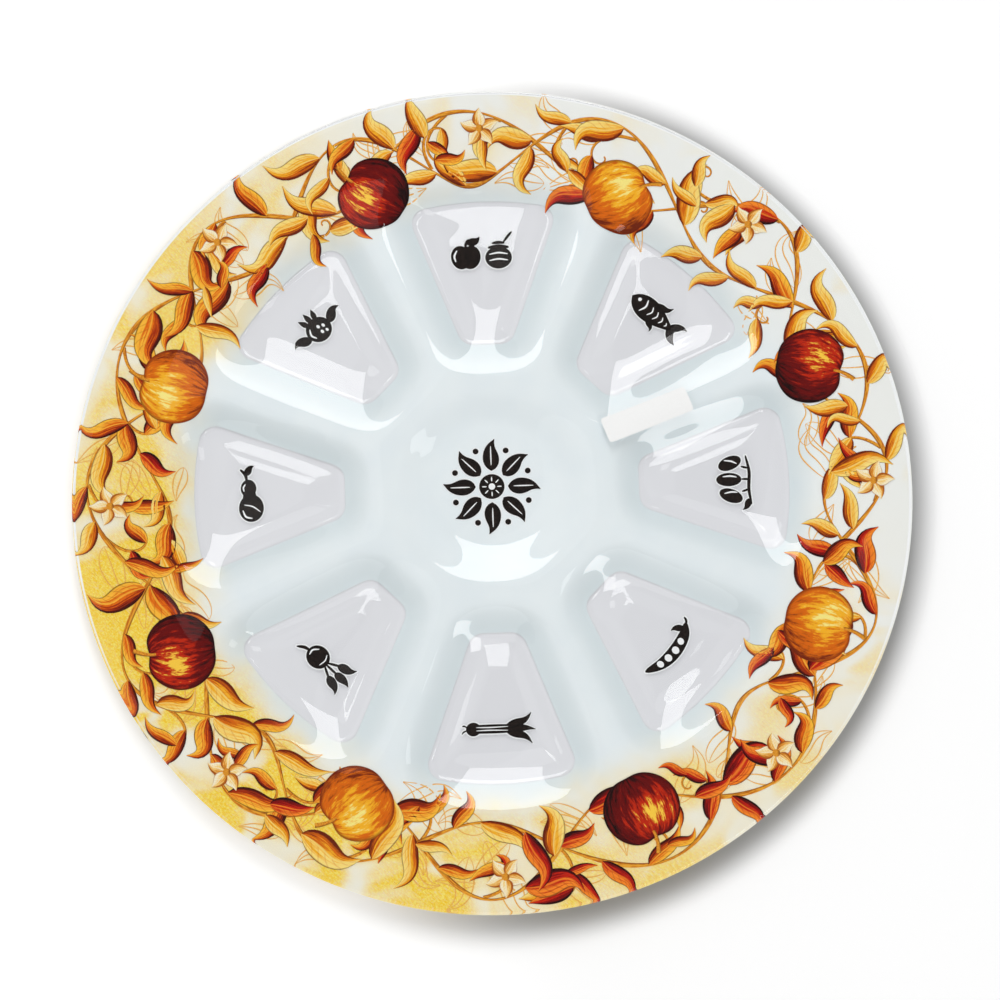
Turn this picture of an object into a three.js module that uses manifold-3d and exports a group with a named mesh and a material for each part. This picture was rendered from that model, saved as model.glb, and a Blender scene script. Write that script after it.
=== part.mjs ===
// A Rosh Hashanah plate: one slumped sheet of clear glass with eight keystone wells round a shallow
// centre dish, printed on its back, with a paper stock label on one spoke.
// Millimetres, +Z up. The origin is on the table under the middle of the outline.
// The wells' floors are the feet. One well lies on +Y, the others follow every 45 degrees.

import * as THREE from 'three';
import { mergeVertices } from 'three/addons/utils/BufferGeometryUtils.js';
import Module from 'manifold-3d';

const wasm = await Module();
wasm.setup();

// Driving dimensions of the glass, from the middle outwards

const DISH_FLOOR_RADIUS = 25;
const DISH_WALL_RUN = 14;
const DISH_DEPTH = 3.6;
const COLLAR_WIDTH = 8;

const WELL_COUNT = 8;
const WELL_DEPTH = 6.5;
const WELL_LENGTH = 56;
const WELL_CORNER = 4.5;
const WALL_RUN = 13;

// A spoke's flat ridge is this wide at its inner end, and each side opens by the flare in degrees
const SPOKE_RIDGE = 4.2;
const SPOKE_FLARE = 1.9;

const DECK_WIDTH = 3;
const RIM_WIDTH = 33;
const RIM_RISE = 3.5;
const GLASS_THICKNESS = 4;
const EDGE_ROUND = 1.2;
const LARGEST_EDGE_SHARE = 0.45;

// The glass slid a little on its mould, so the wells sit off the middle of the outline
const PATTERN_SHIFT = 3.8;

// Each floor rests on a flat land at its edge, and its middle is pushed up clear of the table
const FOOT_LAND = 2.5;
const FLOOR_RISE = 0.8;
const FLOOR_RISE_SHARE = 0.86;

// Prints and coats on the back of the glass

const CLEARANCE = 0.3;
const PRINT_THICKNESS = 0.3;
const COAT_THICKNESS = 0.3;
const COAT_SETBACK = 2.5;
const PRINT_INSET = 0.6;
const BORDER_INSET = 5;

// A mark lies this far outside the middle of its floor, and as far as the margin from its sides
const MARK_OFFSET = 8;
const MARK_MARGIN = 2.6;

const CENTRE_MARK_MARGIN = 5;
const CENTRE_LEAF_COUNT = 8;
const CENTRE_LEAF_ROOT = 4;
const CENTRE_LEAF_HALF_WIDTH = 2.6;
const CENTRE_DISC_RADIUS = 6;

// The paper label, placed from the inner end of the spoke that it is stuck to

const LABEL_LENGTH = 36;
const LABEL_WIDTH = 10.5;
const LABEL_THICKNESS = 0.15;
const LABEL_CLEARANCE = 0.45;
const LABEL_OFFSET = 7.5;
const LABEL_TURN = -2.4;

// Steps of the faceted surfaces

const WALL_STEPS = 3;
const CORNER_STEPS = 3;
const SIDE_STEPS = 2;
const ARC_STEPS = 3;
const DISH_STEPS = 3;
const RIM_STEPS = 3;
const DISH_STEPS_PER_HALF_WELL = 2;
const CURVE_STEPS = 6;
const LABEL_LENGTH_STEPS = 9;
const LABEL_WIDTH_STEPS = 6;

// What follows from the driving dimensions

const DEG = Math.PI / 180;
const WELL_PITCH = 360 / WELL_COUNT;
const HALF_PITCH = WELL_PITCH / 2;
const DISH_RADIUS = DISH_FLOOR_RADIUS + DISH_WALL_RUN;
const WELL_INNER_REACH = DISH_RADIUS + COLLAR_WIDTH + WALL_RUN;
const WELL_OUTER_REACH = WELL_INNER_REACH + WELL_LENGTH;
const WELL_MIDDLE = (WELL_INNER_REACH + WELL_OUTER_REACH) / 2;
const WELL_SIDE_ANGLE = HALF_PITCH - SPOKE_FLARE;
const SPOKE_HALF_WIDTH = WALL_RUN + SPOKE_RIDGE / 2;
const PATTERN_RADIUS = WELL_OUTER_REACH + WALL_RUN + DECK_WIDTH;
const PLATE_RADIUS = PATTERN_RADIUS + RIM_WIDTH;
const RIM_STEPS_PER_HALF_WELL = CORNER_STEPS - 1 + ARC_STEPS;
const RIM_POINT_STEP = HALF_PITCH / RIM_STEPS_PER_HALF_WELL;
const EDGE = Math.min(EDGE_ROUND, LARGEST_EDGE_SHARE * GLASS_THICKNESS);
const PRINT_RADIUS = PLATE_RADIUS - EDGE - PRINT_INSET;
const PRINT_STACK = CLEARANCE + PRINT_THICKNESS;
const MARK_LIFT = FLOOR_RISE - PRINT_STACK;
const CENTRE_MARK_LIFT = WELL_DEPTH - DISH_DEPTH - PRINT_STACK;

const clamp = (value) => Math.min(1, Math.max(0, value));

// An S-shaped step: level at both ends
function smooth(share) {
  const t = clamp(share);
  return t * t * (3 - 2 * t);
}

function polar(radius, degrees) {
  return [radius * Math.cos(degrees * DEG), radius * Math.sin(degrees * DEG)];
}

// The well's floor outline, in a frame with the well on +Y and the pattern's middle at the origin.
// Its inner edge is straight, its sides are straight, its outer edge is an arc about the middle,
// and its corners are rounded about two centres on each side.

const sideRun = [Math.sin(WELL_SIDE_ANGLE * DEG), Math.cos(WELL_SIDE_ANGLE * DEG)];
const sideNormalAngle = -WELL_SIDE_ANGLE;

// Half width of the floor at its inner edge, before its corners are rounded
const innerHalfWidth =
  (WELL_INNER_REACH * Math.sin(HALF_PITCH * DEG) - SPOKE_HALF_WIDTH) / Math.cos(HALF_PITCH * DEG);

const innerCorner = [
  innerHalfWidth - (WELL_CORNER * (1 - sideRun[0])) / sideRun[1],
  WELL_INNER_REACH + WELL_CORNER,
];

// The outer corner's centre lies on the inset side, where that meets the inset arc
const outerCorner = (() => {
  const along = innerCorner[0] * sideRun[0] + innerCorner[1] * sideRun[1];
  const reach = WELL_OUTER_REACH - WELL_CORNER;
  const rest = innerCorner[0] ** 2 + innerCorner[1] ** 2 - reach ** 2;
  const travel = -along + Math.sqrt(along ** 2 - rest);
  return [innerCorner[0] + travel * sideRun[0], innerCorner[1] + travel * sideRun[1]];
})();
const outerCornerAngle = Math.atan2(outerCorner[1], outerCorner[0]) / DEG;

// Half of the floor outline moved outwards by outset, from the inner edge's middle, over +X,
// to the outer edge's middle
function halfOutline(outset) {
  const round = WELL_CORNER + outset;
  const arc = (centre, from, to, steps) => {
    const points = [];
    for (let i = 0; i <= steps; i++) {
      const [x, y] = polar(round, from + ((to - from) * i) / steps);
      points.push([centre[0] + x, centre[1] + y]);
    }
    return points;
  };
  const inner = arc(innerCorner, -90, sideNormalAngle, CORNER_STEPS);
  const outer = arc(outerCorner, sideNormalAngle, outerCornerAngle, CORNER_STEPS);
  const [start, end] = [inner[CORNER_STEPS], outer[0]];
  const side = [];
  for (let i = 1; i < SIDE_STEPS; i++) {
    const t = i / SIDE_STEPS;
    side.push([start[0] + t * (end[0] - start[0]), start[1] + t * (end[1] - start[1])]);
  }
  const points = [[0, WELL_INNER_REACH - outset], ...inner, ...side, ...outer];
  for (let i = 1; i <= ARC_STEPS; i++) {
    const degrees = outerCornerAngle + ((90 - outerCornerAngle) * i) / ARC_STEPS;
    points.push(polar(WELL_OUTER_REACH + outset, degrees));
  }
  return points;
}

// The border of the well's 45-degree share of the plate, point for point as halfOutline: along the
// dish's circle, out along the middle of the spoke, and back along the pattern's circle
function halfBorder() {
  const points = [];
  for (let i = 0; i <= DISH_STEPS_PER_HALF_WELL; i++) {
    const share = i / DISH_STEPS_PER_HALF_WELL;
    points.push(polar(DISH_RADIUS, 90 - HALF_PITCH * share));
  }
  const spoke = polar(1, 90 - HALF_PITCH);
  const outline = halfOutline(0);
  const lastOnSpoke = 1 + CORNER_STEPS + SIDE_STEPS;
  for (let i = points.length; i <= lastOnSpoke; i++) {
    const reach = outline[i][0] * spoke[0] + outline[i][1] * spoke[1];
    points.push([reach * spoke[0], reach * spoke[1]]);
  }
  for (let i = 0; i <= RIM_STEPS_PER_HALF_WELL; i++) {
    points.push(polar(PATTERN_RADIUS, 90 - HALF_PITCH + RIM_POINT_STEP * i));
  }
  return points;
}

// A half outline and its mirror image as one loop, anticlockwise
function wholeLoop(half) {
  const mirrored = half
    .slice(1, -1)
    .reverse()
    .map(([x, y]) => [-x, y]);
  return [...half, ...mirrored];
}

// The loop drawn in towards the floor's middle
function drawnIn(loop, share) {
  return loop.map(([x, y]) => [x * share, WELL_MIDDLE + (y - WELL_MIDDLE) * share]);
}

// A sheet is a surface seen from above: points with the height of the glass's back, and triangles.
// over says whether the ground coat runs over the back of a print there.

class Sheet {
  constructor() {
    this.points = [];
    this.faces = [];
    this.known = new Map();
  }

  point(x, y, height, over = false) {
    const key = `${x.toFixed(4)} ${y.toFixed(4)}`;
    if (!this.known.has(key)) {
      this.known.set(key, this.points.length);
      this.points.push({ x, y, height, over });
    }
    return this.known.get(key);
  }

  loop(points, height, over = false) {
    return points.map(([x, y]) => this.point(x, y, height, over));
  }

  band(inner, outer) {
    for (let i = 0; i < inner.length; i++) {
      const next = (i + 1) % inner.length;
      this.faces.push([inner[i], outer[i], outer[next]]);
      this.faces.push([inner[i], outer[next], inner[next]]);
    }
  }

  disc(loop, centre) {
    for (let i = 0; i < loop.length; i++) {
      this.faces.push([centre, loop[i], loop[(i + 1) % loop.length]]);
    }
  }
}

function turned([x, y], degrees) {
  const c = Math.cos(degrees * DEG);
  const s = Math.sin(degrees * DEG);
  return [c * x - s * y, s * x + c * y + PATTERN_SHIFT];
}

// One well with its share of the deck. Without its floor, the sheet opens at the coat's edge.
function addWell(sheet, degrees, withFloor) {
  const place = (points) => points.map((point) => turned(point, degrees));
  if (withFloor) {
    const edge = wholeLoop(halfOutline(0));
    const land = wholeLoop(halfOutline(-FOOT_LAND));
    const crown = drawnIn(land, FLOOR_RISE_SHARE);
    const middle = turned([0, WELL_MIDDLE], degrees);
    const crownLoop = sheet.loop(place(crown), FLOOR_RISE);
    const landLoop = sheet.loop(place(land), 0);
    const edgeLoop = sheet.loop(place(edge), 0);
    const coatLoop = sheet.loop(place(wholeLoop(halfOutline(COAT_SETBACK))), wallHeight(COAT_SETBACK));
    sheet.disc(crownLoop, sheet.point(...middle, FLOOR_RISE));
    sheet.band(crownLoop, landLoop);
    sheet.band(landLoop, edgeLoop);
    sheet.band(edgeLoop, coatLoop);
  }
  let last = null;
  for (let i = 0; i <= WALL_STEPS; i++) {
    const outset = COAT_SETBACK + ((WALL_RUN - COAT_SETBACK) * i) / WALL_STEPS;
    const next = sheet.loop(place(wholeLoop(halfOutline(outset))), wallHeight(outset));
    if (last) sheet.band(last, next);
    last = next;
  }
  sheet.band(last, sheet.loop(place(wholeLoop(halfBorder())), WELL_DEPTH));
}

// Height of the glass's back on a well's wall, by the distance from the floor's edge
function wallHeight(outset) {
  return WELL_DEPTH * smooth(outset / WALL_RUN);
}

function dishHeight(radius) {
  return WELL_DEPTH - DISH_DEPTH * smooth((DISH_RADIUS - radius) / DISH_WALL_RUN);
}

function circle(radius, pointCount, shift) {
  const points = [];
  for (let i = 0; i < pointCount; i++) {
    const [x, y] = polar(radius, (360 * i) / pointCount);
    points.push([x, y + shift]);
  }
  return points;
}

function addDish(sheet) {
  const pointCount = WELL_COUNT * 2 * DISH_STEPS_PER_HALF_WELL;
  const printed = (radius) => radius <= DISH_FLOOR_RADIUS;
  let last = null;
  for (let i = 0; i <= DISH_STEPS; i++) {
    const radius = DISH_FLOOR_RADIUS + (DISH_WALL_RUN * i) / DISH_STEPS;
    const points = circle(radius, pointCount, PATTERN_SHIFT);
    const next = sheet.loop(points, dishHeight(radius), printed(radius));
    if (last) sheet.band(last, next);
    else sheet.disc(next, sheet.point(0, PATTERN_SHIFT, dishHeight(0), true));
    last = next;
  }
}

// Rings of the rim. Share 0 is the pattern's circle about its own middle, and share 1 is the
// circle of radius outer about the plate's middle. The rim rises to its full height at the outline.
function rimLoop(sheet, share, outer, over) {
  const pointCount = Math.round(360 / RIM_POINT_STEP);
  const from = circle(PATTERN_RADIUS, pointCount, PATTERN_SHIFT);
  const to = circle(outer, pointCount, 0);
  const points = from.map(([x, y], i) => [x + share * (to[i][0] - x), y + share * (to[i][1] - y)]);
  const reach = (share * (outer - PATTERN_RADIUS)) / RIM_WIDTH;
  return sheet.loop(points, WELL_DEPTH + RIM_RISE * smooth(reach), over);
}

function rimShares() {
  const first = BORDER_INSET / RIM_WIDTH;
  const shares = [];
  for (let i = 0; i <= RIM_STEPS; i++) shares.push(first + ((1 - first) * i) / RIM_STEPS);
  return shares;
}

function addRim(sheet) {
  let last = rimLoop(sheet, 0, PLATE_RADIUS, false);
  for (const share of rimShares()) {
    const next = rimLoop(sheet, share, PRINT_RADIUS, true);
    sheet.band(last, next);
    last = next;
  }
  return last;
}

// The printed ring of the rim alone
function borderSheet() {
  const sheet = new Sheet();
  const loops = rimShares().map((share) => rimLoop(sheet, share, PRINT_RADIUS, true));
  for (let i = 1; i < loops.length; i++) sheet.band(loops[i - 1], loops[i]);
  return sheet;
}

function plateSheet(withFloors) {
  const sheet = new Sheet();
  for (let i = 0; i < WELL_COUNT; i++) addWell(sheet, WELL_PITCH * i, withFloors);
  addDish(sheet);
  const printEdge = addRim(sheet);
  if (withFloors) sheet.band(printEdge, rimLoop(sheet, 1, PLATE_RADIUS - EDGE, false));
  return sheet;
}

// A closed solid between two heights over a sheet. Each open edge of the sheet gets a wall, which
// bulges outwards by round where round is given.
function sheetSolid(sheet, topOf, bottomOf, round = 0) {
  const positions = [];
  const triangles = [];
  const count = sheet.points.length;
  for (const point of sheet.points) positions.push(point.x, point.y, topOf(point));
  for (const point of sheet.points) positions.push(point.x, point.y, bottomOf(point));
  for (const [a, b, c] of sheet.faces) {
    triangles.push(a, b, c);
    triangles.push(a + count, c + count, b + count);
  }
  const open = new Map();
  for (const [a, b, c] of sheet.faces) {
    for (const [from, to] of [[a, b], [b, c], [c, a]]) {
      if (!open.delete(`${to} ${from}`)) open.set(`${from} ${to}`, [from, to]);
    }
  }
  const bulge = new Map();
  const wallColumn = (index) => {
    if (round === 0) return [index, index + count];
    if (!bulge.has(index)) {
      const point = sheet.points[index];
      const stretch = 1 + round / Math.hypot(point.x, point.y);
      const first = positions.length / 3;
      positions.push(point.x * stretch, point.y * stretch, topOf(point) - round);
      positions.push(point.x * stretch, point.y * stretch, bottomOf(point) + round);
      bulge.set(index, [index, first, first + 1, index + count]);
    }
    return bulge.get(index);
  };
  for (const [from, to] of open.values()) {
    const near = wallColumn(from);
    const far = wallColumn(to);
    for (let i = 1; i < near.length; i++) {
      triangles.push(near[i], far[i], far[i - 1]);
      triangles.push(near[i], far[i - 1], near[i - 1]);
    }
  }
  const geometry = new THREE.BufferGeometry();
  geometry.setAttribute('position', new THREE.Float32BufferAttribute(positions, 3));
  geometry.setIndex(triangles);
  return geometry;
}

// Height of a sheet at a point, on the triangle that holds it
function heightOn(sheet, x, y) {
  for (const face of sheet.faces) {
    const [a, b, c] = face.map((index) => sheet.points[index]);
    const area = (b.x - a.x) * (c.y - a.y) - (c.x - a.x) * (b.y - a.y);
    const shareB = ((x - a.x) * (c.y - a.y) - (c.x - a.x) * (y - a.y)) / area;
    const shareC = ((b.x - a.x) * (y - a.y) - (x - a.x) * (b.y - a.y)) / area;
    if (shareB >= 0 && shareC >= 0 && shareB + shareC <= 1) {
      return a.height + shareB * (b.height - a.height) + shareC * (c.height - a.height);
    }
  }
  return WELL_DEPTH;
}

// The label follows the ridge of the spoke that it is stuck to
function labelSolid(glass) {
  const centre = polar(WELL_INNER_REACH + LABEL_OFFSET, HALF_PITCH);
  const run = polar(1, HALF_PITCH + LABEL_TURN);
  const sheet = new Sheet();
  const rows = [];
  for (let j = 0; j <= LABEL_WIDTH_STEPS; j++) {
    const row = [];
    for (let i = 0; i <= LABEL_LENGTH_STEPS; i++) {
      const along = LABEL_LENGTH * (i / LABEL_LENGTH_STEPS - 0.5);
      const across = LABEL_WIDTH * (j / LABEL_WIDTH_STEPS - 0.5);
      const x = centre[0] + along * run[0] - across * run[1];
      const y = centre[1] + along * run[1] + across * run[0] + PATTERN_SHIFT;
      row.push(sheet.point(x, y, heightOn(glass, x, y) + GLASS_THICKNESS + LABEL_CLEARANCE));
    }
    rows.push(row);
  }
  for (let j = 0; j < LABEL_WIDTH_STEPS; j++) {
    for (let i = 0; i < LABEL_LENGTH_STEPS; i++) {
      sheet.faces.push([rows[j][i], rows[j][i + 1], rows[j + 1][i + 1]]);
      sheet.faces.push([rows[j][i], rows[j + 1][i + 1], rows[j + 1][i]]);
    }
  }
  return sheetSolid(sheet, (point) => point.height + LABEL_THICKNESS, (point) => point.height);
}

// Shapes of the printed marks, drawn flat about their own middle with +Y as their top

function oval(x, y, halfWidth, halfHeight, degrees = 0) {
  const shape = new THREE.Shape();
  shape.absellipse(x, y, halfWidth, halfHeight, 0, 2 * Math.PI, false, degrees * DEG);
  return shape;
}

function polygon(points) {
  return new THREE.Shape(points.map(([x, y]) => new THREE.Vector2(x, y)));
}

// A pointed leaf from its stalk to its tip, as wide on both sides
function leaf(fromX, fromY, toX, toY, halfWidth) {
  const run = new THREE.Vector2(toX - fromX, toY - fromY);
  const side = new THREE.Vector2(-run.y, run.x).setLength(2 * halfWidth);
  const middle = new THREE.Vector2(fromX, fromY).addScaledVector(run, 0.5);
  const shape = new THREE.Shape();
  shape.moveTo(fromX, fromY);
  shape.quadraticCurveTo(middle.x - side.x, middle.y - side.y, toX, toY);
  shape.quadraticCurveTo(middle.x + side.x, middle.y + side.y, fromX, fromY);
  return shape;
}

function manifoldOf(shape) {
  const geometry = new THREE.ExtrudeGeometry(shape, {
    depth: PRINT_THICKNESS,
    bevelEnabled: false,
    curveSegments: CURVE_STEPS,
  });
  geometry.deleteAttribute('normal');
  geometry.deleteAttribute('uv');
  const merged = mergeVertices(geometry);
  return new wasm.Manifold(
    new wasm.Mesh({
      numProp: 3,
      vertProperties: new Float32Array(merged.attributes.position.array),
      triVerts: new Uint32Array(merged.index.array),
    }),
  );
}

// The shapes of a mark joined to one flat solid
function markSolid(shapes) {
  const solid = shapes.map(manifoldOf).reduce((joined, next) => joined.add(next));
  const mesh = solid.getMesh();
  const geometry = new THREE.BufferGeometry();
  geometry.setAttribute('position', new THREE.Float32BufferAttribute(mesh.vertProperties, 3));
  geometry.setIndex(Array.from(mesh.triVerts));
  return geometry;
}

const markShapes = {
  apple_and_honey: [
    oval(-7.5, -0.6, 4.4, 5.4, 8),
    oval(-3.5, -0.6, 4.4, 5.4, -8),
    leaf(-5.5, 3.5, -1.2, 8.2, 1.3),
    oval(6.2, -1.6, 5.6, 4.8),
    polygon([[2.6, 1.8], [9.8, 1.8], [9.2, 4.6], [3.2, 4.6]]),
    polygon([[-2, -3.2], [2.6, -3.2], [2.6, -1.4], [-2, -1.4]]),
  ],
  fish: [
    leaf(-13, 0, 10, 0, 5.2),
    polygon([[6.4, 0], [13, 4.6], [11.2, 0], [13, -4.6]]),
    leaf(-3, 3, 4.4, 6.6, 1.4),
  ],
  dates: [
    oval(-6.2, -1.4, 3.3, 5, 24),
    oval(0.6, -2, 3.3, 5.2, 0),
    oval(7.4, -1.4, 3.3, 5, -24),
    leaf(-9.4, 5.6, 10.4, 5.6, 1.7),
    polygon([[-0.9, 2], [2, 2], [2, 5.4], [-0.9, 5.4]]),
    polygon([[-5.4, 2.2], [-3.4, 2.2], [-3.4, 5.6], [-5.4, 5.6]]),
    polygon([[4.4, 2.2], [6.4, 2.2], [6.4, 5.6], [4.4, 5.6]]),
  ],
  bean_pod: [
    leaf(-13, -1, 13, -1, 2.6),
    oval(-7, -0.6, 2.9, 3.1),
    oval(-1.2, -0.4, 3, 3.4),
    oval(4.6, -0.4, 3, 3.3),
    leaf(9, -0.6, 13.6, 4, 0.9),
  ],
  leek: [
    oval(-10.6, 0, 3, 3.3),
    polygon([[-10, -2.6], [3, -1.9], [3, 1.9], [-10, 2.6]]),
    leaf(1, 0, 13.6, 5, 1.7),
    leaf(1, 0, 14, 0, 1.7),
    leaf(1, 0, 13.6, -5, 1.7),
  ],
  beet: [
    oval(-3, -1, 5.6, 4.8),
    leaf(-6.4, -0.8, -12.8, -3.4, 0.9),
    leaf(0, 0, 12.4, 6.4, 1.9),
    leaf(0.4, -0.6, 13.2, 0.2, 1.9),
    leaf(0, -1.4, 11.8, -5.6, 1.9),
  ],
  gourd: [
    oval(-4.4, -0.8, 5.8, 5.2),
    oval(4.2, 0.6, 3.5, 3.1),
    oval(0.4, 0, 3.4, 3),
    leaf(6.2, 1.2, 12.2, 4.6, 1),
  ],
  pomegranate: [
    oval(0, -1.2, 5.8, 5.4),
    polygon([[-3, 3], [3, 3], [3.6, 7.6], [1.6, 5.8], [0, 8], [-1.6, 5.8], [-3.6, 7.6]]),
    leaf(-4.6, -2, -12.2, 2.6, 1.7),
    leaf(4.6, -2, 12.2, 2.6, 1.7),
  ],
};

// The marks go round anticlockwise from the well on +X. Those on the near side are read from there.
const markOrder = [
  ['dates', true],
  ['fish', true],
  ['apple_and_honey', true],
  ['pomegranate', true],
  ['gourd', true],
  ['beet', false],
  ['leek', false],
  ['bean_pod', false],
];

// Half width that a mark drawn in markShapes may take, as far as its longest one reaches
const DRAWN_HALF_WIDTH = 14;
const MARK_RADIUS = WELL_MIDDLE + MARK_OFFSET;
const markScale = (() => {
  const opening = (MARK_RADIUS - WELL_INNER_REACH) * Math.tan(WELL_SIDE_ANGLE * DEG);
  const raisedHalfWidth = FLOOR_RISE_SHARE * (innerHalfWidth + opening - FOOT_LAND);
  return (raisedHalfWidth - MARK_MARGIN) / DRAWN_HALF_WIDTH;
})();

// The centre mark: a ring of leaves round a small disc
function centreMarkShapes() {
  const shapes = [oval(0, 0, CENTRE_DISC_RADIUS, CENTRE_DISC_RADIUS)];
  const tip = DISH_FLOOR_RADIUS - CENTRE_MARK_MARGIN;
  for (let i = 0; i < CENTRE_LEAF_COUNT; i++) {
    const heading = (360 * i) / CENTRE_LEAF_COUNT;
    const root = polar(CENTRE_LEAF_ROOT, heading);
    shapes.push(leaf(...root, ...polar(tip, heading), CENTRE_LEAF_HALF_WIDTH));
  }
  return shapes;
}

// The model

const plate = new THREE.Group();

function add(name, geometry, settings) {
  const mesh = new THREE.Mesh(geometry, new THREE.MeshStandardMaterial(settings));
  mesh.name = name;
  plate.add(mesh);
  return mesh;
}

const glassLook = { color: 0xe4eff0, roughness: 0.03, metalness: 0, transparent: true, opacity: 0.35 };
const coatLook = { color: 0xdfe9ec, roughness: 0.5, metalness: 0 };
const borderLook = { color: 0xd9952e, roughness: 0.4, metalness: 0 };
const inkLook = { color: 0x2e2622, roughness: 0.4, metalness: 0 };
const paperLook = { color: 0xf7f7f5, roughness: 0.8, metalness: 0 };

const coatTop = (point) => point.height - CLEARANCE - (point.over ? PRINT_STACK : 0);

const glassSheet = plateSheet(true);

add(
  'glass_plate',
  sheetSolid(
    glassSheet,
    (point) => point.height + GLASS_THICKNESS,
    (point) => point.height,
    EDGE,
  ),
  glassLook,
);

add(
  'ground_coat',
  sheetSolid(plateSheet(false), coatTop, (point) => coatTop(point) - COAT_THICKNESS),
  coatLook,
);

add(
  'border_print',
  sheetSolid(
    borderSheet(),
    (point) => point.height - CLEARANCE,
    (point) => point.height - PRINT_STACK,
  ),
  borderLook,
);

markOrder.slice(0, WELL_COUNT).forEach(([name, topOutwards], i) => {
  const heading = WELL_PITCH * i;
  const mark = add(`well_mark_${name}`, markSolid(markShapes[name]), inkLook);
  const [x, y] = polar(MARK_RADIUS, heading);
  mark.position.set(x, y + PATTERN_SHIFT, MARK_LIFT);
  mark.rotation.z = (heading + (topOutwards ? -90 : 90)) * DEG;
  mark.scale.set(markScale, markScale, 1);
});

const centreMark = add('centre_mark', markSolid(centreMarkShapes()), inkLook);
centreMark.position.set(0, PATTERN_SHIFT, CENTRE_MARK_LIFT);

add('stock_label', labelSolid(glassSheet), paperLook);

export default plate;
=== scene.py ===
"""A round glass plate with eight wells, printed on its back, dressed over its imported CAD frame.

Metres, +Z up, the origin on the table under the middle of the outline. Shapes are worked out in
millimetres, in the same formulas as the CAD source, and turned to metres when a mesh is made.
"""

import math

import bpy
import numpy as np
from mathutils import Matrix, Vector


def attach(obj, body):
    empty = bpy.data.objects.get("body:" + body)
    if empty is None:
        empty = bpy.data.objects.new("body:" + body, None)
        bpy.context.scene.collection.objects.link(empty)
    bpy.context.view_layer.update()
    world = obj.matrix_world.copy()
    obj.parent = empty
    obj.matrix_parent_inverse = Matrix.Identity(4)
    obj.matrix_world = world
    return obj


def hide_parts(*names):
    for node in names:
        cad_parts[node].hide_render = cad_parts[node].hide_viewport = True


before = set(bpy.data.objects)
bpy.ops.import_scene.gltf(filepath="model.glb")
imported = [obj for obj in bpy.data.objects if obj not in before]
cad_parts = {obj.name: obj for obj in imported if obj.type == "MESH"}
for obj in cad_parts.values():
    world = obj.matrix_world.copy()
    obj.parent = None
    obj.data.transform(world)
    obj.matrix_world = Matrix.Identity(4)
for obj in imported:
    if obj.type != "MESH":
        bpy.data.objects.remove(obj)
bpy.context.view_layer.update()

MM = 0.001

# Sizes of the glass, as in the CAD source

DISH_FLOOR_RADIUS = 25.0
DISH_WALL_RUN = 14.0
DISH_DEPTH = 3.6
DISH_RADIUS = DISH_FLOOR_RADIUS + DISH_WALL_RUN
WELL_COUNT = 8
WELL_DEPTH = 6.5
WELL_CORNER = 4.5
WALL_RUN = 13.0
INNER_REACH = DISH_RADIUS + 8.0 + WALL_RUN
OUTER_REACH = INNER_REACH + 56.0
WELL_MIDDLE = (INNER_REACH + OUTER_REACH) / 2
HALF_PITCH = math.radians(22.5)
SIDE_ANGLE = math.radians(22.5 - 1.9)
SPOKE_HALF_WIDTH = WALL_RUN + 2.1
PATTERN_RADIUS = OUTER_REACH + WALL_RUN + 3.0
PATTERN_SHIFT = 3.8
RIM_WIDTH = 33.0
RIM_RISE = 3.5
PLATE_RADIUS = PATTERN_RADIUS + RIM_WIDTH
GLASS_THICKNESS = 4.0
EDGE_ROUND = 1.2
FLOOR_RISE = 0.8
FOOT_LAND = 2.5
CLEARANCE = 0.3
COAT_SETBACK = 2.5
SIDE_RUN = np.array([math.sin(SIDE_ANGLE), math.cos(SIDE_ANGLE)])
FLOOR_RISE_RUN = 11.0
FLOOR_RISE_SHARE = 0.45
SHIFT = np.array([0.0, PATTERN_SHIFT])
TINY = 1e-6

# Points along each stretch of half a floor outline, and rings over each part of the plate
EDGE_POINTS = 5
CORNER_POINTS = 6
SIDE_POINTS = 20
ARC_POINTS = 12
DISH_POINTS = EDGE_POINTS + CORNER_POINTS // 2
RIM_POINTS = ARC_POINTS + CORNER_POINTS // 2
FLOOR_RINGS = 24
WALL_RINGS = 16
DECK_RINGS = 4
DISH_RADII = np.concatenate([[0.0, 7.0, 14.0, 19.0], np.linspace(22.0, DISH_RADIUS, 14)])
RIM_SHARES = np.append(np.linspace(0, 1, 18)[:-1], [0.988, 1.0])


# Shapes of the glass, worked out as whole arrays


def smooth(share):
    """An S-shaped step from 0 to 1, level at both ends: t squared times (3 - 2 t)."""
    t = np.clip(share, 0.0, 1.0)
    return t * t * (3.0 - 2.0 * t)


def pairs(x, y):
    """Points from their two coordinates."""
    return np.stack([x, y], axis=-1)


def direction(angle):
    """Unit vectors at angles from +X."""
    return pairs(np.cos(angle), np.sin(angle))


def turn(plan, angle):
    """Points turned about the origin."""
    c, s = np.cos(angle), np.sin(angle)
    x, y = plan[..., 0], plan[..., 1]
    return pairs(c * x - s * y, s * x + c * y)


def wall_height(outset):
    """Height of the glass's back on a well's wall, by the distance from the floor's edge."""
    return WELL_DEPTH * smooth(outset / WALL_RUN)


def dish_height(radius):
    """Height of the back in the centre dish: the deck less a smooth step down to its floor."""
    return WELL_DEPTH - DISH_DEPTH * smooth((DISH_RADIUS - radius) / DISH_WALL_RUN)


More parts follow.
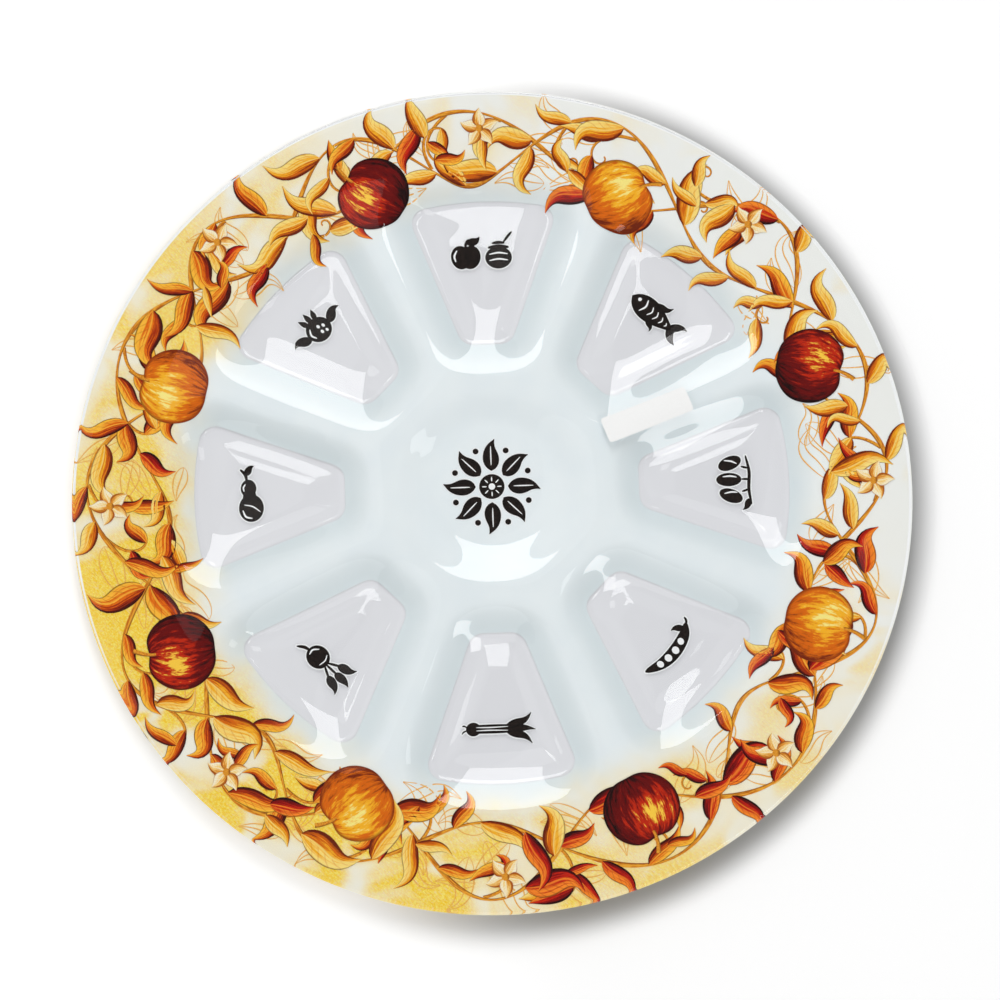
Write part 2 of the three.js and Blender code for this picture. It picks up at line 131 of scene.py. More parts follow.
def corner_centres():
    """Centres of the floor outline's inner and outer corners on its +X side.

    The inner one is tucked into the corner of the inner edge and the straight side, and the outer
    one lies further along that side, where the distance from the pattern's middle is the outer
    reach less the corner's radius.
    """
    half_width = (INNER_REACH * math.sin(HALF_PITCH) - SPOKE_HALF_WIDTH) / math.cos(HALF_PITCH)
    tuck = WELL_CORNER * (1 - SIDE_RUN[0]) / SIDE_RUN[1]
    inner = np.array([half_width - tuck, INNER_REACH + WELL_CORNER])
    along = inner @ SIDE_RUN
    travel = math.sqrt(along**2 - (inner @ inner - (OUTER_REACH - WELL_CORNER) ** 2)) - along
    return inner, inner + travel * SIDE_RUN


INNER_CORNER, OUTER_CORNER = corner_centres()
OUTER_ANGLE = math.atan2(OUTER_CORNER[1], OUTER_CORNER[0])


def half_outline():
    """Half a floor outline and its outward normals, from the inner edge's middle over +X.

    It is a straight inner edge, an arc, a straight side, an arc, and part of a circle about the
    pattern's middle. Moving each point along its normal moves the whole outline outwards.
    """
    edge = np.linspace(0.0, INNER_CORNER[0], EDGE_POINTS + 1)[:-1]
    first = np.linspace(-math.pi / 2, -SIDE_ANGLE, CORNER_POINTS + 1)
    second = np.linspace(-SIDE_ANGLE, OUTER_ANGLE, CORNER_POINTS + 1)
    arc = np.linspace(OUTER_ANGLE, math.pi / 2, ARC_POINTS + 1)[1:]
    side = np.linspace(0.0, 1.0, SIDE_POINTS + 1)[1:-1, None]
    start = INNER_CORNER + WELL_CORNER * direction(first)
    end = OUTER_CORNER + WELL_CORNER * direction(second)
    points = [
        pairs(edge, np.full_like(edge, INNER_REACH)),
        start,
        start[-1] + side * (end[0] - start[-1]),
        end,
        OUTER_REACH * direction(arc),
    ]
    normals = [
        np.tile([0.0, -1.0], (len(edge), 1)),
        direction(first),
        np.tile(direction(-SIDE_ANGLE), (SIDE_POINTS - 1, 1)),
        direction(second),
        direction(arc),
    ]
    return np.concatenate(points), np.concatenate(normals)


def half_border(count):
    """The border of half a well's share of the plate, point for point as half_outline.

    It runs along the dish's circle, out along the middle of the spoke, and back along the
    pattern's circle.
    """
    dish = math.pi / 2 - HALF_PITCH * np.arange(DISH_POINTS + 1) / DISH_POINTS
    rim = math.pi / 2 - HALF_PITCH * np.arange(RIM_POINTS, -1, -1) / RIM_POINTS
    middle = count - len(dish) - len(rim)
    reach = np.linspace(DISH_RADIUS, PATTERN_RADIUS, middle + 2)[1:-1, None]
    spoke = reach * np.array([math.sin(HALF_PITCH), math.cos(HALF_PITCH)])
    return np.concatenate([DISH_RADIUS * direction(dish), spoke, PATTERN_RADIUS * direction(rim)])


def whole_loop(half):
    """Half a loop joined to its mirror image in the YZ plane, anticlockwise."""
    return np.concatenate([half, half[-2:0:-1] * np.array([-1.0, 1.0])])


def in_well(x, y):
    """Distance from the pattern's middle, and the place across and along the nearest well."""
    radius = np.hypot(x, y - PATTERN_SHIFT)
    angle = np.arctan2(y - PATTERN_SHIFT, x)
    folded = angle - 2 * HALF_PITCH * np.round(angle / (2 * HALF_PITCH))
    return radius, radius * np.sin(folded), radius * np.cos(folded)


def floor_outset(radius, across, along):
    """Distance outside a well's floor: that from a wedge with a rounded edge."""
    across = np.abs(across)
    x, y = across - INNER_CORNER[0], along - INNER_CORNER[1]
    travel = x * SIDE_RUN[0] + y * SIDE_RUN[1]
    by_side = x * SIDE_RUN[1] - y * SIDE_RUN[0]
    by_outer = np.hypot(across - OUTER_CORNER[0], along - OUTER_CORNER[1])
    beside = np.where(travel > np.hypot(*(OUTER_CORNER - INNER_CORNER)), by_outer, by_side)
    beside = np.where(travel < 0, np.hypot(np.maximum(x, 0), y), beside)
    outside_arc = radius - (OUTER_REACH - WELL_CORNER)
    beyond = (np.arctan2(along, across) > OUTER_ANGLE) & (outside_arc > 0)
    beside = np.where(beyond, outside_arc, beside)
    return np.where((x < 0) & (y < 0), -y, beside) - WELL_CORNER


def rim_rise(x, y):
    """How far the rim has risen, by the share of the way from the pattern's circle to the edge."""
    from_pattern = np.maximum(np.hypot(x, y - PATTERN_SHIFT) - PATTERN_RADIUS, 0)
    to_edge = np.maximum(PLATE_RADIUS - np.hypot(x, y), 0)
    return RIM_RISE * smooth(from_pattern / np.maximum(from_pattern + to_edge, TINY))


def back_height(x, y):
    """Height of the glass's back at any point, from the same steps as the sheets."""
    radius, across, along = in_well(x, y)
    outset = floor_outset(radius, across, along)
    height = np.where(radius < DISH_RADIUS, dish_height(radius), wall_height(outset))
    rise = FLOOR_RISE * smooth((-FOOT_LAND - outset) / FLOOR_RISE_RUN)
    return height + np.where(outset < 0, rise, 0.0) + rim_rise(x, y)


# The face of the glass is softer than its back: the slumped sheet rounds each floor and shoulder.
# Its floors sag along the wells. It is worked out once on a square grid, then blurred.

FIELD_STEP = 0.5
FIELD_REACH = 190.0
FACE_BLUR = 6.1
FACE_WALL_RUN = 10.0
FLOOR_FACE = 0.3
FLOOR_SAG = 0.00082
FLOOR_SAG_ACROSS = 0.0022
FLOOR_LOW_POINT = 81.6
DISH_FACE = 0.2
DISH_FACE_RADIUS = 27.0
DISH_SAG = 0.00002
FACE_TOP = WELL_DEPTH + RIM_RISE + GLASS_THICKNESS


def blurred(field):
    """A bell-shaped average over the neighbours, along one axis and then the other."""
    reach = int(3 * FACE_BLUR / FIELD_STEP)
    weights = np.exp(-0.5 * (np.arange(-reach, reach + 1) * FIELD_STEP / FACE_BLUR) ** 2)
    weights /= weights.sum()
    for axis in (0, 1):
        field = sum(weight * np.roll(field, k - reach, axis) for k, weight in enumerate(weights))
    return field


def face_field():
    """Height of the face less the thickness: hollow floors, a smooth step up, and a blur."""
    steps = np.arange(-FIELD_REACH, FIELD_REACH + FIELD_STEP / 2, FIELD_STEP)
    x, y = np.meshgrid(steps, steps)
    radius, across, along = in_well(x, y)
    floor = FLOOR_FACE + FLOOR_SAG * (along - FLOOR_LOW_POINT) ** 2 + FLOOR_SAG_ACROSS * across**2
    rise = smooth(floor_outset(radius, across, along) / FACE_WALL_RUN)
    well = floor + (WELL_DEPTH - floor) * rise
    dish = WELL_DEPTH - DISH_DEPTH + DISH_FACE + DISH_SAG * radius**2
    rise = smooth((radius - DISH_FACE_RADIUS) / (DISH_RADIUS - DISH_FACE_RADIUS))
    dish = dish + (WELL_DEPTH - dish) * rise
    return blurred(np.where(radius < DISH_RADIUS, dish, well) + rim_rise(x, y))


face_grid = face_field()


def face_height(x, y):
    """Height of the face at any point: the field between its four nearest grid points.

    The blur rounds the rim's outer lip, which is held under the plate's full height.
    """
    across, up = (x + FIELD_REACH) / FIELD_STEP, (y + FIELD_REACH) / FIELD_STEP
    i, j = across.astype(int), up.astype(int)
    u, v = across - i, up - j
    low = face_grid[j, i] * (1 - u) + face_grid[j, i + 1] * u
    high = face_grid[j + 1, i] * (1 - u) + face_grid[j + 1, i + 1] * u
    return np.minimum(GLASS_THICKNESS + low * (1 - v) + high * v, FACE_TOP)


def rings(plan, heights):
    """Points and quads of rings that close on themselves, outermost last, each at one height."""
    count, points = plan.shape[:2]
    index = np.arange(count * points).reshape(count, points)
    following = np.roll(index, -1, axis=1)
    quads = np.stack([index[:-1], index[1:], following[1:], following[:-1]], axis=-1)
    height = np.broadcast_to(np.reshape(heights, (-1, 1, 1)), (count, points, 1))
    return np.concatenate([plan, height], axis=-1).reshape(-1, 3), quads.reshape(-1, 4)


def welded(parts):
    """Parts of a sheet in one, with the points that fall together joined."""
    starts = np.cumsum([0] + [len(points) for points, _ in parts])
    points = np.concatenate([points for points, _ in parts])
    quads = np.concatenate([start + quads for start, (_, quads) in zip(starts, parts)])
    _, first, joined = np.unique(
        np.round(points[:, :2], 3), axis=0, return_index=True, return_inverse=True
    )
    return points[first], joined.reshape(-1)[quads]


def plate_sheet(with_floors, rim_edge):
    """The whole plate as rings: eight wells, the centre dish and the rim.

    A well's rings are its outline drawn towards the middle of the floor, then moved out over the
    wall, then blended with the border of its share of the deck. Without the floors, the first
    ring is where the coat ends on the wall. The rim's rings are blended between the pattern's
    circle and the plate's.
    """
    half, half_normals = half_outline()
    outline, normals = whole_loop(half), whole_loop(half_normals)
    border = whole_loop(half_border(len(half)))
    middle = np.array([0.0, WELL_MIDDLE])
    well = []
    if with_floors:
        land = outline - FOOT_LAND * normals
        for share in np.linspace(0.0, 1.0, FLOOR_RINGS):
            height = FLOOR_RISE * smooth((1.0 - share) / FLOOR_RISE_SHARE)
            well.append((middle + share * (land - middle), height))
        outsets = np.linspace(0.0, WALL_RUN, WALL_RINGS)
    else:
        outsets = np.linspace(COAT_SETBACK, WALL_RUN, WALL_RINGS - 3)
    well += [(outline + outset * normals, wall_height(outset)) for outset in outsets]
    top = outline + WALL_RUN * normals
    shares = np.arange(1, DECK_RINGS + 1) / DECK_RINGS
    well += [(top + share * (border - top), WELL_DEPTH) for share in shares]
    plans, heights = (np.array(column) for column in zip(*well))
    parts = [
        rings(turn(plans, 2 * HALF_PITCH * i) + SHIFT, heights) for i in range(WELL_COUNT)
    ]

    def circle(half_points):
        count = WELL_COUNT * 2 * half_points
        return direction(np.linspace(0, 2 * math.pi, count, endpoint=False))

    plan = DISH_RADII[:, None, None] * circle(DISH_POINTS) + SHIFT
    parts.append(rings(plan, dish_height(DISH_RADII)))
    start, end = PATTERN_RADIUS * circle(RIM_POINTS) + SHIFT, rim_edge * circle(RIM_POINTS)
    reach = RIM_SHARES * (rim_edge - PATTERN_RADIUS) / RIM_WIDTH
    plan = start + RIM_SHARES[:, None, None] * (end - start)
    parts.append(rings(plan, WELL_DEPTH + RIM_RISE * smooth(reach)))
    return welded(parts)


# Meshes

SHARP_ANGLE = math.radians(50)


def put(name, data):
    """A new object of some data, put in the scene."""
    made = bpy.data.objects.new(name, data)
    bpy.context.scene.collection.objects.link(made)
    return made


def make_piece(name, points_mm, faces, finish, smooth_faces=True):
    """Makes a mesh of points in millimetres and rides it on the plate's one body."""
    mesh = bpy.data.meshes.new(name)
    mesh.from_pydata((points_mm * MM).tolist(), [], [list(f) for f in faces])
    mesh.update()
    mesh.polygons.foreach_set("use_smooth", np.full(len(mesh.polygons), smooth_faces))
    mesh.set_sharp_from_angle(angle=SHARP_ANGLE)
    mesh.materials.append(finish)
    piece = put(name, mesh)
    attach(piece, "root")
    return piece


def set_numbers(piece, name, values):
    """Gives each point of a piece three numbers, for its finish to read."""
    attribute = piece.data.attributes.new(name, "FLOAT_VECTOR", "POINT")
    attribute.data.foreach_set("vector", np.ravel(values))


def grid_quads(rows, columns):
    """Faces between a grid of points."""
    index = np.arange(rows * columns).reshape(rows, columns)
    corners = index[:-1, :-1], index[:-1, 1:], index[1:, 1:], index[1:, :-1]
    return np.stack(corners, axis=-1).reshape(-1, 4)


def tidy_faces(quads):
    """Quads with their repeated corners dropped, as lists."""
    out = []
    for quad in quads.tolist():
        kept = [v for i, v in enumerate(quad) if v != quad[i - 1]]
        if len(set(kept)) >= 3:
            out.append(kept)
    return out


def open_edges(quads):
    """Edges that only one face uses, in that face's order."""
    edges = np.concatenate([quads[:, [i, (i + 1) % 4]] for i in range(4)])
    edges = edges[edges[:, 0] != edges[:, 1]]
    size = int(quads.max()) + 1
    forward = edges[:, 0] * size + edges[:, 1]
    backward = edges[:, 1] * size + edges[:, 0]
    return edges[~np.isin(forward, backward)]


def slab(plan, quads, top, bottom, edge_round=0.0, edge_steps=0):
    """A closed body between two heights over a sheet.

    The wall on each open edge is a straight band, or for a rounded edge a half ring: the offset
    from the edge is the round's sine and the height runs by its cosine at both lips.
    """
    count = len(plan)
    body = [np.column_stack([plan, top]), np.column_stack([plan, bottom])]
    faces = tidy_faces(quads) + tidy_faces(quads[:, ::-1] + count)
    edges = open_edges(quads)
    lip = np.unique(edges)
    quarter = np.linspace(0, math.pi / 2, edge_steps + 1)[1:]
    steps = [(angle, top, -1) for angle in quarter]
    steps += [(angle, bottom, 1) for angle in quarter[::-1]]
    rows = [np.arange(count)]
    total = 2 * count
    for angle, lips, sign in steps:
        stretch = 1 + edge_round * np.sin(angle) / np.hypot(plan[lip, 0], plan[lip, 1])
        height = lips[lip] + sign * edge_round * (1 - np.cos(angle))
        body.append(np.column_stack([plan[lip] * stretch[:, None], height]))
        row = np.zeros(count, int)
        row[lip] = total + np.arange(len(lip))
        rows.append(row)
        total += len(lip)
    rows.append(np.arange(count) + count)
    a, b = edges.T
    for upper, lower in zip(rows[:-1], rows[1:]):
        faces += np.stack([upper[a], lower[a], lower[b], upper[b]], axis=-1).tolist()
    return np.concatenate(body), faces


# Shader nodes


def operator(operation, swapped=False):
    """A method that adds a Math node of a Value and any other number."""

    def method(self, *others):
        numbers = (*others, self) if swapped else (self, *others)
        values = dict(enumerate(numbers))
        return self.nodes.node("ShaderNodeMath", {"operation": operation}, values)

    return method


class Value:
    """A number, vector or shader from a node. Sums and products of it add Math nodes."""

    def __init__(self, nodes, socket):
        self.nodes = nodes
        self.socket = socket

    __add__ = __radd__ = operator("ADD")
    __sub__, __rsub__ = operator("SUBTRACT"), operator("SUBTRACT", True)
    __mul__ = __rmul__ = operator("MULTIPLY")
    __truediv__, __pow__, __abs__ = operator("DIVIDE"), operator("POWER"), operator("ABSOLUTE")
    most, least, sine = operator("MAXIMUM"), operator("MINIMUM"), operator("SINE")

    def step(self, low, high, start=0.0, end=1.0):
        """One number below low, another above high, and an S-shaped step between."""
        names = "Value", "From Min", "From Max", "To Min", "To Max"
        values = dict(zip(names, (self, low, high, start, end)))
        return self.nodes.node(
            "ShaderNodeMapRange", {"interpolation_type": "SMOOTHSTEP"}, values
        )


class Nodes:
    """A tree of shader nodes."""

    def __init__(self, tree):
        self.tree = tree

    def fill(self, socket, value):
        """Links a socket to a Value, or gives it a number or a colour."""
        if isinstance(value, Value):
            self.tree.links.new(value.socket, socket)
        elif isinstance(value, tuple) and len(value) == 3 and socket.type == "RGBA":
            socket.default_value = (*value, 1.0)
        else:
            socket.default_value = value

    def node(self, kind, settings=None, values=None, out=0):
        """A new node with these settings and inputs, as the Value of one output."""
        node = self.tree.nodes.new(kind)
        for name, setting in (settings or {}).items():
            setattr(node, name, setting)
        for name, value in (values or {}).items():
            self.fill(node.inputs[name], value)
        return Value(self, node.outputs[out])

    def mix(self, share, first, second):
        """A colour between two, by a share."""
        return self.node("ShaderNodeMix", {"data_type": "RGBA"}, {0: share, 6: first, 7: second}, 2)

    def place(self, kind="Object"):
        """Coordinates of a kind."""
        return self.node("ShaderNodeTexCoord", out=kind)

    def apart(self, vector):
        """The three numbers of a vector."""
        first = self.node("ShaderNodeSeparateXYZ", values={"Vector": vector})
        return [Value(self, socket) for socket in first.socket.node.outputs]

    def read(self, name):
        """The three numbers that the points of a piece carry under a name."""
        return self.apart(self.node("ShaderNodeAttribute", {"attribute_name": name}, out="Vector"))

    def together(self, x, y, z):
        """A vector of three numbers."""
        return self.node("ShaderNodeCombineXYZ", values={"X": x, "Y": y, "Z": z})

    def noise(self, vector, scale, detail=3.0, roughness=0.5, distortion=0.0):
        """Soft noise from 0 to 1, about one half."""
        names = "Vector", "Scale", "Detail", "Roughness", "Distortion"
        values = vector, scale, detail, roughness, distortion
        return self.node("ShaderNodeTexNoise", values=dict(zip(names, values)))

    def bump(self, height, strength, distance):
        """A normal that follows a height."""
        values = {"Height": height, "Strength": strength, "Distance": distance}
        return self.node("ShaderNodeBump", values=values)

    def rays(self, *kinds):
        """For each kind of ray, 1 where it is one."""
        path = self.node("ShaderNodeLightPath").socket.node
        return [Value(self, path.outputs[kind]) for kind in kinds]


class Finish(Nodes):
    """One material's nodes round a Principled shader."""

    def __init__(self, name):
        self.material = bpy.data.materials.new(name)
        self.material.use_nodes = True
        super().__init__(self.material.node_tree)
        self.tree.nodes.clear()
        self.shader = self.node("ShaderNodeBsdfPrincipled")
        self.surface = self.tree.nodes.new("ShaderNodeOutputMaterial").inputs["Surface"]
        self.fill(self.surface, self.shader)

    def set(self, **values):
        """Fills inputs of the Principled shader, and gives the material."""
        for name, value in values.items():
            self.fill(self.shader.socket.node.inputs[name.replace("_", " ")], value)
        return self.material

    def enamel(self, body):
        """The material as a dull fired print of this colour, under the glass."""
        return self.set(Base_Color=body, Roughness=0.5, Specular_IOR_Level=0.05)

    def let_through(self, kinds, tint):
        """Lets kinds of ray pass straight through, tinted."""
        clear = self.node("ShaderNodeBsdfTransparent", values={"Color": tint})
        shader = self.shader
        for ray in self.rays(*kinds):
            shader = self.node("ShaderNodeMixShader", values={0: ray, 1: shader, 2: clear})
        self.fill(self.surface, shader)


def colour(red, green, blue):
    """A screen colour, 0 to 255, as the shader's linear colour."""
    channels = [c / 255 for c in (red, green, blue)]
    return tuple(c / 12.92 if c <= 0.04045 else ((c + 0.055) / 1.055) ** 2.4 for c in channels)


def glass_finish():
    """Clear glass with a faint cool tint, a little waviness from slumping.

    Lamplight and the light that the coat throws back go straight through it, so that they reach
    what is behind the glass at full strength.
    """
    finish = Finish("clear_glass")
    waves = finish.bump(finish.noise(finish.place(), 14.0, 2.0), 0.12, 0.004)
    finish.let_through(("Is Diffuse Ray", "Is Shadow Ray"), (0.965, 0.975, 0.975))
    return finish.set(
        Base_Color=(0.985, 0.995, 0.995),
        Roughness=0.012,
        IOR=1.5,
        Transmission_Weight=1.0,
        Normal=waves,
    )


def coat_finish():
    """Milky pale blue-white enamel that turns to cream and a gold stipple towards the rim.

    Towards the wells it carries a painted shade, a little greyer, for the shade round them. The
    gold lies in clouds, most of it on the -X -Y side, and its grain is fine short strokes. The last
    half millimetre is a painted highlight in white, for the light the glass's edge catches.
    """
    finish = Finish("ground_enamel")
    place = finish.place()
    x, y, _ = finish.apart(place)
    radius = (x * x + y * y).most(1e-8) ** 0.5
    warm = 0.5 - (x * 0.80 + y * 0.60) / radius * 0.5
    cloud = finish.noise(place, 22.0, 3.0, 0.6)
    ragged = radius + (cloud - 0.5) * 0.026 + warm * 0.010 - 0.003
    rim = ragged.step(0.113, 0.138)
    mottle = finish.noise(place, 60.0, 4.0, 0.6)
    milky = finish.mix(mottle.step(0.3, 0.7), colour(236, 243, 246), colour(240, 246, 248))
    # Painted shade: greyer towards the wells, by the share that make_coat gives each point
    milky = finish.mix(finish.read("painted_well_shade")[0], milky, colour(222, 231, 234))
    cream = finish.mix(cloud.step(0.35, 0.65), colour(247, 245, 235), colour(250, 240, 212))
    cream = finish.mix(warm.step(0.05, 0.6), colour(246, 246, 242), cream)
    hatch = finish.noise(finish.together((x + y) * 1500, (x - y) * 330, cloud * 3), 1.0, 3.0, 0.6)
    stipple = finish.noise(place, 1100.0, 3.0, 0.7)
    patch = finish.noise(place, 34.0, 2.0, 0.5, 0.6)
    gold = finish.mix(stipple.step(0.42, 0.66), colour(250, 204, 44), colour(255, 234, 120))
    gold = finish.mix((hatch * 0.6 + stipple * 0.4).step(0.56, 0.71), gold, colour(232, 152, 12))
    grain = (hatch * 0.5 + stipple * 0.5).step(0.36, 0.52)
    amount = (patch + warm * 0.24 - 0.12).step(0.38, 0.66) * (warm * 0.9 + 0.3)
    amount = amount * ragged.step(0.118, 0.140) * (grain * 0.45 + 0.55)
    ground = finish.mix(amount.least(1.0), cream, gold)
    body = finish.mix(rim, milky, ground)
    # The white ring at the very edge is a painted highlight, for the light that the glass's edge
    # catches
    return finish.enamel(finish.mix(radius.step(0.1637, 0.1641), body, colour(254, 254, 254)))


# How far the coat is raised into the glass's skin, and how far from the wells its painted shade
# fades out
BOND = 0.05
PAINTED_SHADE_FADE = 13.0
PRINT_EDGE = PLATE_RADIUS - 0.5
SLOPE_STEP = 0.75
EDGE_STEPS = 5


def face_uprights(x, y):
    """Normals of the face, from its slopes over a step each way."""
    step = SLOPE_STEP
    slope_x = (face_height(x + step, y) - face_height(x - step, y)) / (2 * step)
    slope_y = (face_height(x, y + step) - face_height(x, y - step)) / (2 * step)
    upright = np.stack([-slope_x, -slope_y, np.ones_like(x)], axis=-1)
    return upright / np.linalg.norm(upright, axis=-1, keepdims=True)


def make_glass():
    """The sheet between its back and its softer face. The face's normals are its own slopes'."""
    points, quads = plate_sheet(True, PLATE_RADIUS - EDGE_ROUND)
    x, y, back = points.T
    top = face_height(x, y)
    body, faces = slab(points[:, :2], quads, top, back, EDGE_ROUND, EDGE_STEPS)
    piece = make_piece("glass_body", body, faces, glass_finish())
    normals = np.empty(3 * len(body))
    piece.data.vertices.foreach_get("normal", normals)
    normals = normals.reshape(-1, 3)
    normals[: len(points)] = face_uprights(x, y)
    piece.data.normals_split_custom_set_from_vertices(normals.tolist())
    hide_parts("glass_plate")


def make_coat():
    """The coat is fired into the skin of the back, so that no air shows between them."""
    points, quads = plate_sheet(False, PRINT_EDGE)
    top = points[:, 2] + BOND
    body, faces = slab(points[:, :2], quads, top, top - CLEARANCE)
    piece = make_piece("back_coat", body, faces, coat_finish())
    # Painted shade for the coat's finish: full where the coat ends by a well, gone a fade's run
    # away, none in the dish
    radius, across, along = in_well(body[:, 0], body[:, 1])
    outset = floor_outset(radius, across, along)
    beside = np.where(radius > DISH_RADIUS, 1 - smooth((outset - COAT_SETBACK) / PAINTED_SHADE_FADE), 0.0)
    set_numbers(piece, "painted_well_shade", np.repeat(beside[:, None], 3, axis=1))
    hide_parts("ground_coat")


make_glass()
make_coat()


# Printed shapes, laid on the back of the glass

PRINT_BODY = 0.03
PRINT_TOP = 0.35
PRINT_MARGIN = 0.1
LEAF_TIP = 0.12
LEAF_COLUMNS = 5
RIBBON_COLUMNS = 3


class Print:
    """Flat shapes in one closed mesh. Each is a grid of plan points that is bent to the glass.

    form holds each point's place in its own shape, and seed a number of each shape's own, for the
    finish to read.
    """

    def __init__(self):
        self.points, self.faces, self.form = [], [], []
        self.count = 0

    def add(self, plan_and_form, seed, depth, level=None):
        """Adds k shapes, each of n by m points, at k depths in millimetres under the top print.

        All of them lie just over the back, in its skin. A level in place of the back's height
        keeps them flat.
        """
        plan, form = (np.array(grid, float) for grid in plan_and_form)
        shapes, rows, columns = plan.shape[:3]
        middle = plan[:, rows // 2, columns // 2]
        across = plan[:, rows // 2, columns // 2 + 1] - middle
        along = plan[:, rows // 2 + 1, columns // 2] - middle
        turned = across[:, 0] * along[:, 1] - across[:, 1] * along[:, 0] < 0
        for grid in (plan, form):
            grid[turned] = grid[turned][:, :, ::-1]
        reach = np.maximum(np.hypot(plan[..., 0], plan[..., 1]), TINY)
        plan = plan * np.minimum(1.0, (PRINT_EDGE - PRINT_MARGIN) / reach)[..., None]
        x, y = plan[..., 0], plan[..., 1]
        top = (back_height(x, y) if level is None else level + 0.0 * x) + PRINT_TOP
        top = top - np.reshape(depth, (-1, 1, 1))
        size = rows * columns
        index = np.arange(size).reshape(rows, columns)
        upper = grid_quads(rows, columns)
        rim = np.concatenate([index[0, :-1], index[:-1, -1], index[-1, :0:-1], index[:0:-1, 0]])
        after = np.roll(rim, -1)
        wall = np.stack([rim, rim + size, after + size, after], axis=-1)
        cell = np.concatenate([upper, upper[:, ::-1] + size, wall])
        starts = self.count + 2 * size * np.arange(shapes)
        self.faces.append((starts[:, None, None] + cell).reshape(-1, 4))
        body = [np.stack([x, y, z], axis=-1) for z in (top, top - PRINT_BODY)]
        self.points.append(np.concatenate(body, axis=1).reshape(-1, 3))
        seed = np.broadcast_to(np.reshape(seed, (-1, 1, 1, 1)), (shapes, rows, columns, 1))
        own = np.concatenate([form, seed], axis=-1).reshape(shapes, size, 3)
        self.form.append(np.tile(own, (1, 2, 1)).reshape(-1, 3))
        self.count += 2 * size * shapes

    def piece(self, name, finish, slot, node):
        """Makes the piece that stands for a node."""
        points, faces = np.concatenate(self.points), np.concatenate(self.faces).tolist()
        made = make_piece(name, points, faces, finish, False)
        set_numbers(made, "form", np.concatenate(self.form))
        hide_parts(node)


def unit_grid(rows, columns):
    """v from 0 to 1 down the rows, and u from -1 to 1 along the columns."""
    return np.meshgrid(np.linspace(0, 1, rows), np.linspace(-1, 1, columns), indexing="ij")


def leaf_shapes(root, heading, length, half_width, bend, rows=16):
    """k leaves. Each runs from its root by a heading that turns by bend towards its tip.

    The half width is a power of v times a power of 1 - v, widest a third of the way up. The last
    part of the heading turns back, which gives the tip its S.
    """
    v, u = unit_grid(rows, LEAF_COLUMNS)
    numbers = heading, length, half_width, bend
    heading, length, half_width, bend = (np.reshape(each, (-1, 1)) for each in numbers)
    run = v[:, 0][None]
    angle = heading + bend * (run - 1.9 * smooth((run - 0.45) / 0.55))
    step = length / (rows - 1)
    x = np.cumsum(np.cos(angle) * step, axis=1) - np.cos(angle[:, :1]) * step
    y = np.cumsum(np.sin(angle) * step, axis=1) - np.sin(angle[:, :1]) * step
    width = run**0.75 * (1 - run) ** 1.3
    width = half_width * width / width.max() + LEAF_TIP
    normal = pairs(-np.sin(angle), np.cos(angle))[:, :, None]
    plan = pairs(x, y)[:, :, None] + normal * width[..., None, None] * u[..., None]
    plan += np.reshape(root, (-1, 1, 1, 2))
    return plan, np.broadcast_to(pairs(u, v), plan.shape)


def ribbon_shapes(path, half_width):
    """Ribbons carried along k paths of n points, as wide each way as half_width says."""
    path = np.asarray(path, float)
    run = np.gradient(path, axis=1)
    run /= np.linalg.norm(run, axis=-1, keepdims=True)
    normal = pairs(-run[..., 1], run[..., 0])
    v, u = unit_grid(path.shape[1], RIBBON_COLUMNS)
    width = np.broadcast_to(half_width, path.shape[:2])
    plan = path[:, :, None] + normal[:, :, None] * (width[..., None] * u)[..., None]
    return plan, np.broadcast_to(pairs(u, v), plan.shape)


def disc_shapes(centre, radius_of, turn_by, cells):
    """A disc whose radius depends on the direction: a square grid pressed into a circle.

    x is u times the root of 1 - v squared over 2, and y the same the other way round.
    """
    v, u = unit_grid(cells, cells)
    v = 2 * v - 1
    x, y = u * np.sqrt(1 - v * v / 2), v * np.sqrt(1 - u * u / 2)
    plan = turn(pairs(x, y) * radius_of(np.arctan2(y, x))[..., None], turn_by)[None]
    return plan + np.asarray(centre), np.broadcast_to(pairs(x, y), plan.shape)


# The border: wavy vines with an apple in each inner bay and a blossom in each outer bay


def painted(finish, shade, colours, steps):
    """A first colour with the others laid over it, where the shade has passed their steps."""
    body = colours[0]
    for each, (low, high) in zip(colours[1:], steps):
        body = finish.mix(shade.step(low, high), body, each)
    return body


def leaf_finish(name, light, middle, dark, deep):
    """A painted leaf: long streaks, one half in shade, a dark outline and a bright vein."""
    finish = Finish(name)
    across, along, seed = finish.read("form")
    place = finish.together(across * 5.5 + seed * 31, along * 1.5 + seed * 17, seed)
    streak = finish.noise(place, 1.3, 4.0, 0.65)
    shade = across * 0.50 + 0.36 + (streak - 0.5) * 1.5 + (0.45 - along) * 0.35
    steps = (0.02, 0.34), (0.42, 0.62), (0.68, 0.92)
    body = painted(finish, shade, (light, middle, dark, deep), steps)
    veins = (along * 46 - abs(across) * 9 + seed * 5).sine()
    body = finish.mix(veins.step(0.72, 1.0) * 0.3, body, dark)
    edge = across.step(0.62, 0.84).most(abs(across).step(0.84, 0.98) * 0.8)
    body = finish.mix(edge * 0.95, body, deep)
    vein = (1 - abs(across + 0.06).step(0.03, 0.12)) * (1 - along.step(0.7, 0.95))
    return finish.enamel(finish.mix(vein * 0.7, body, light))


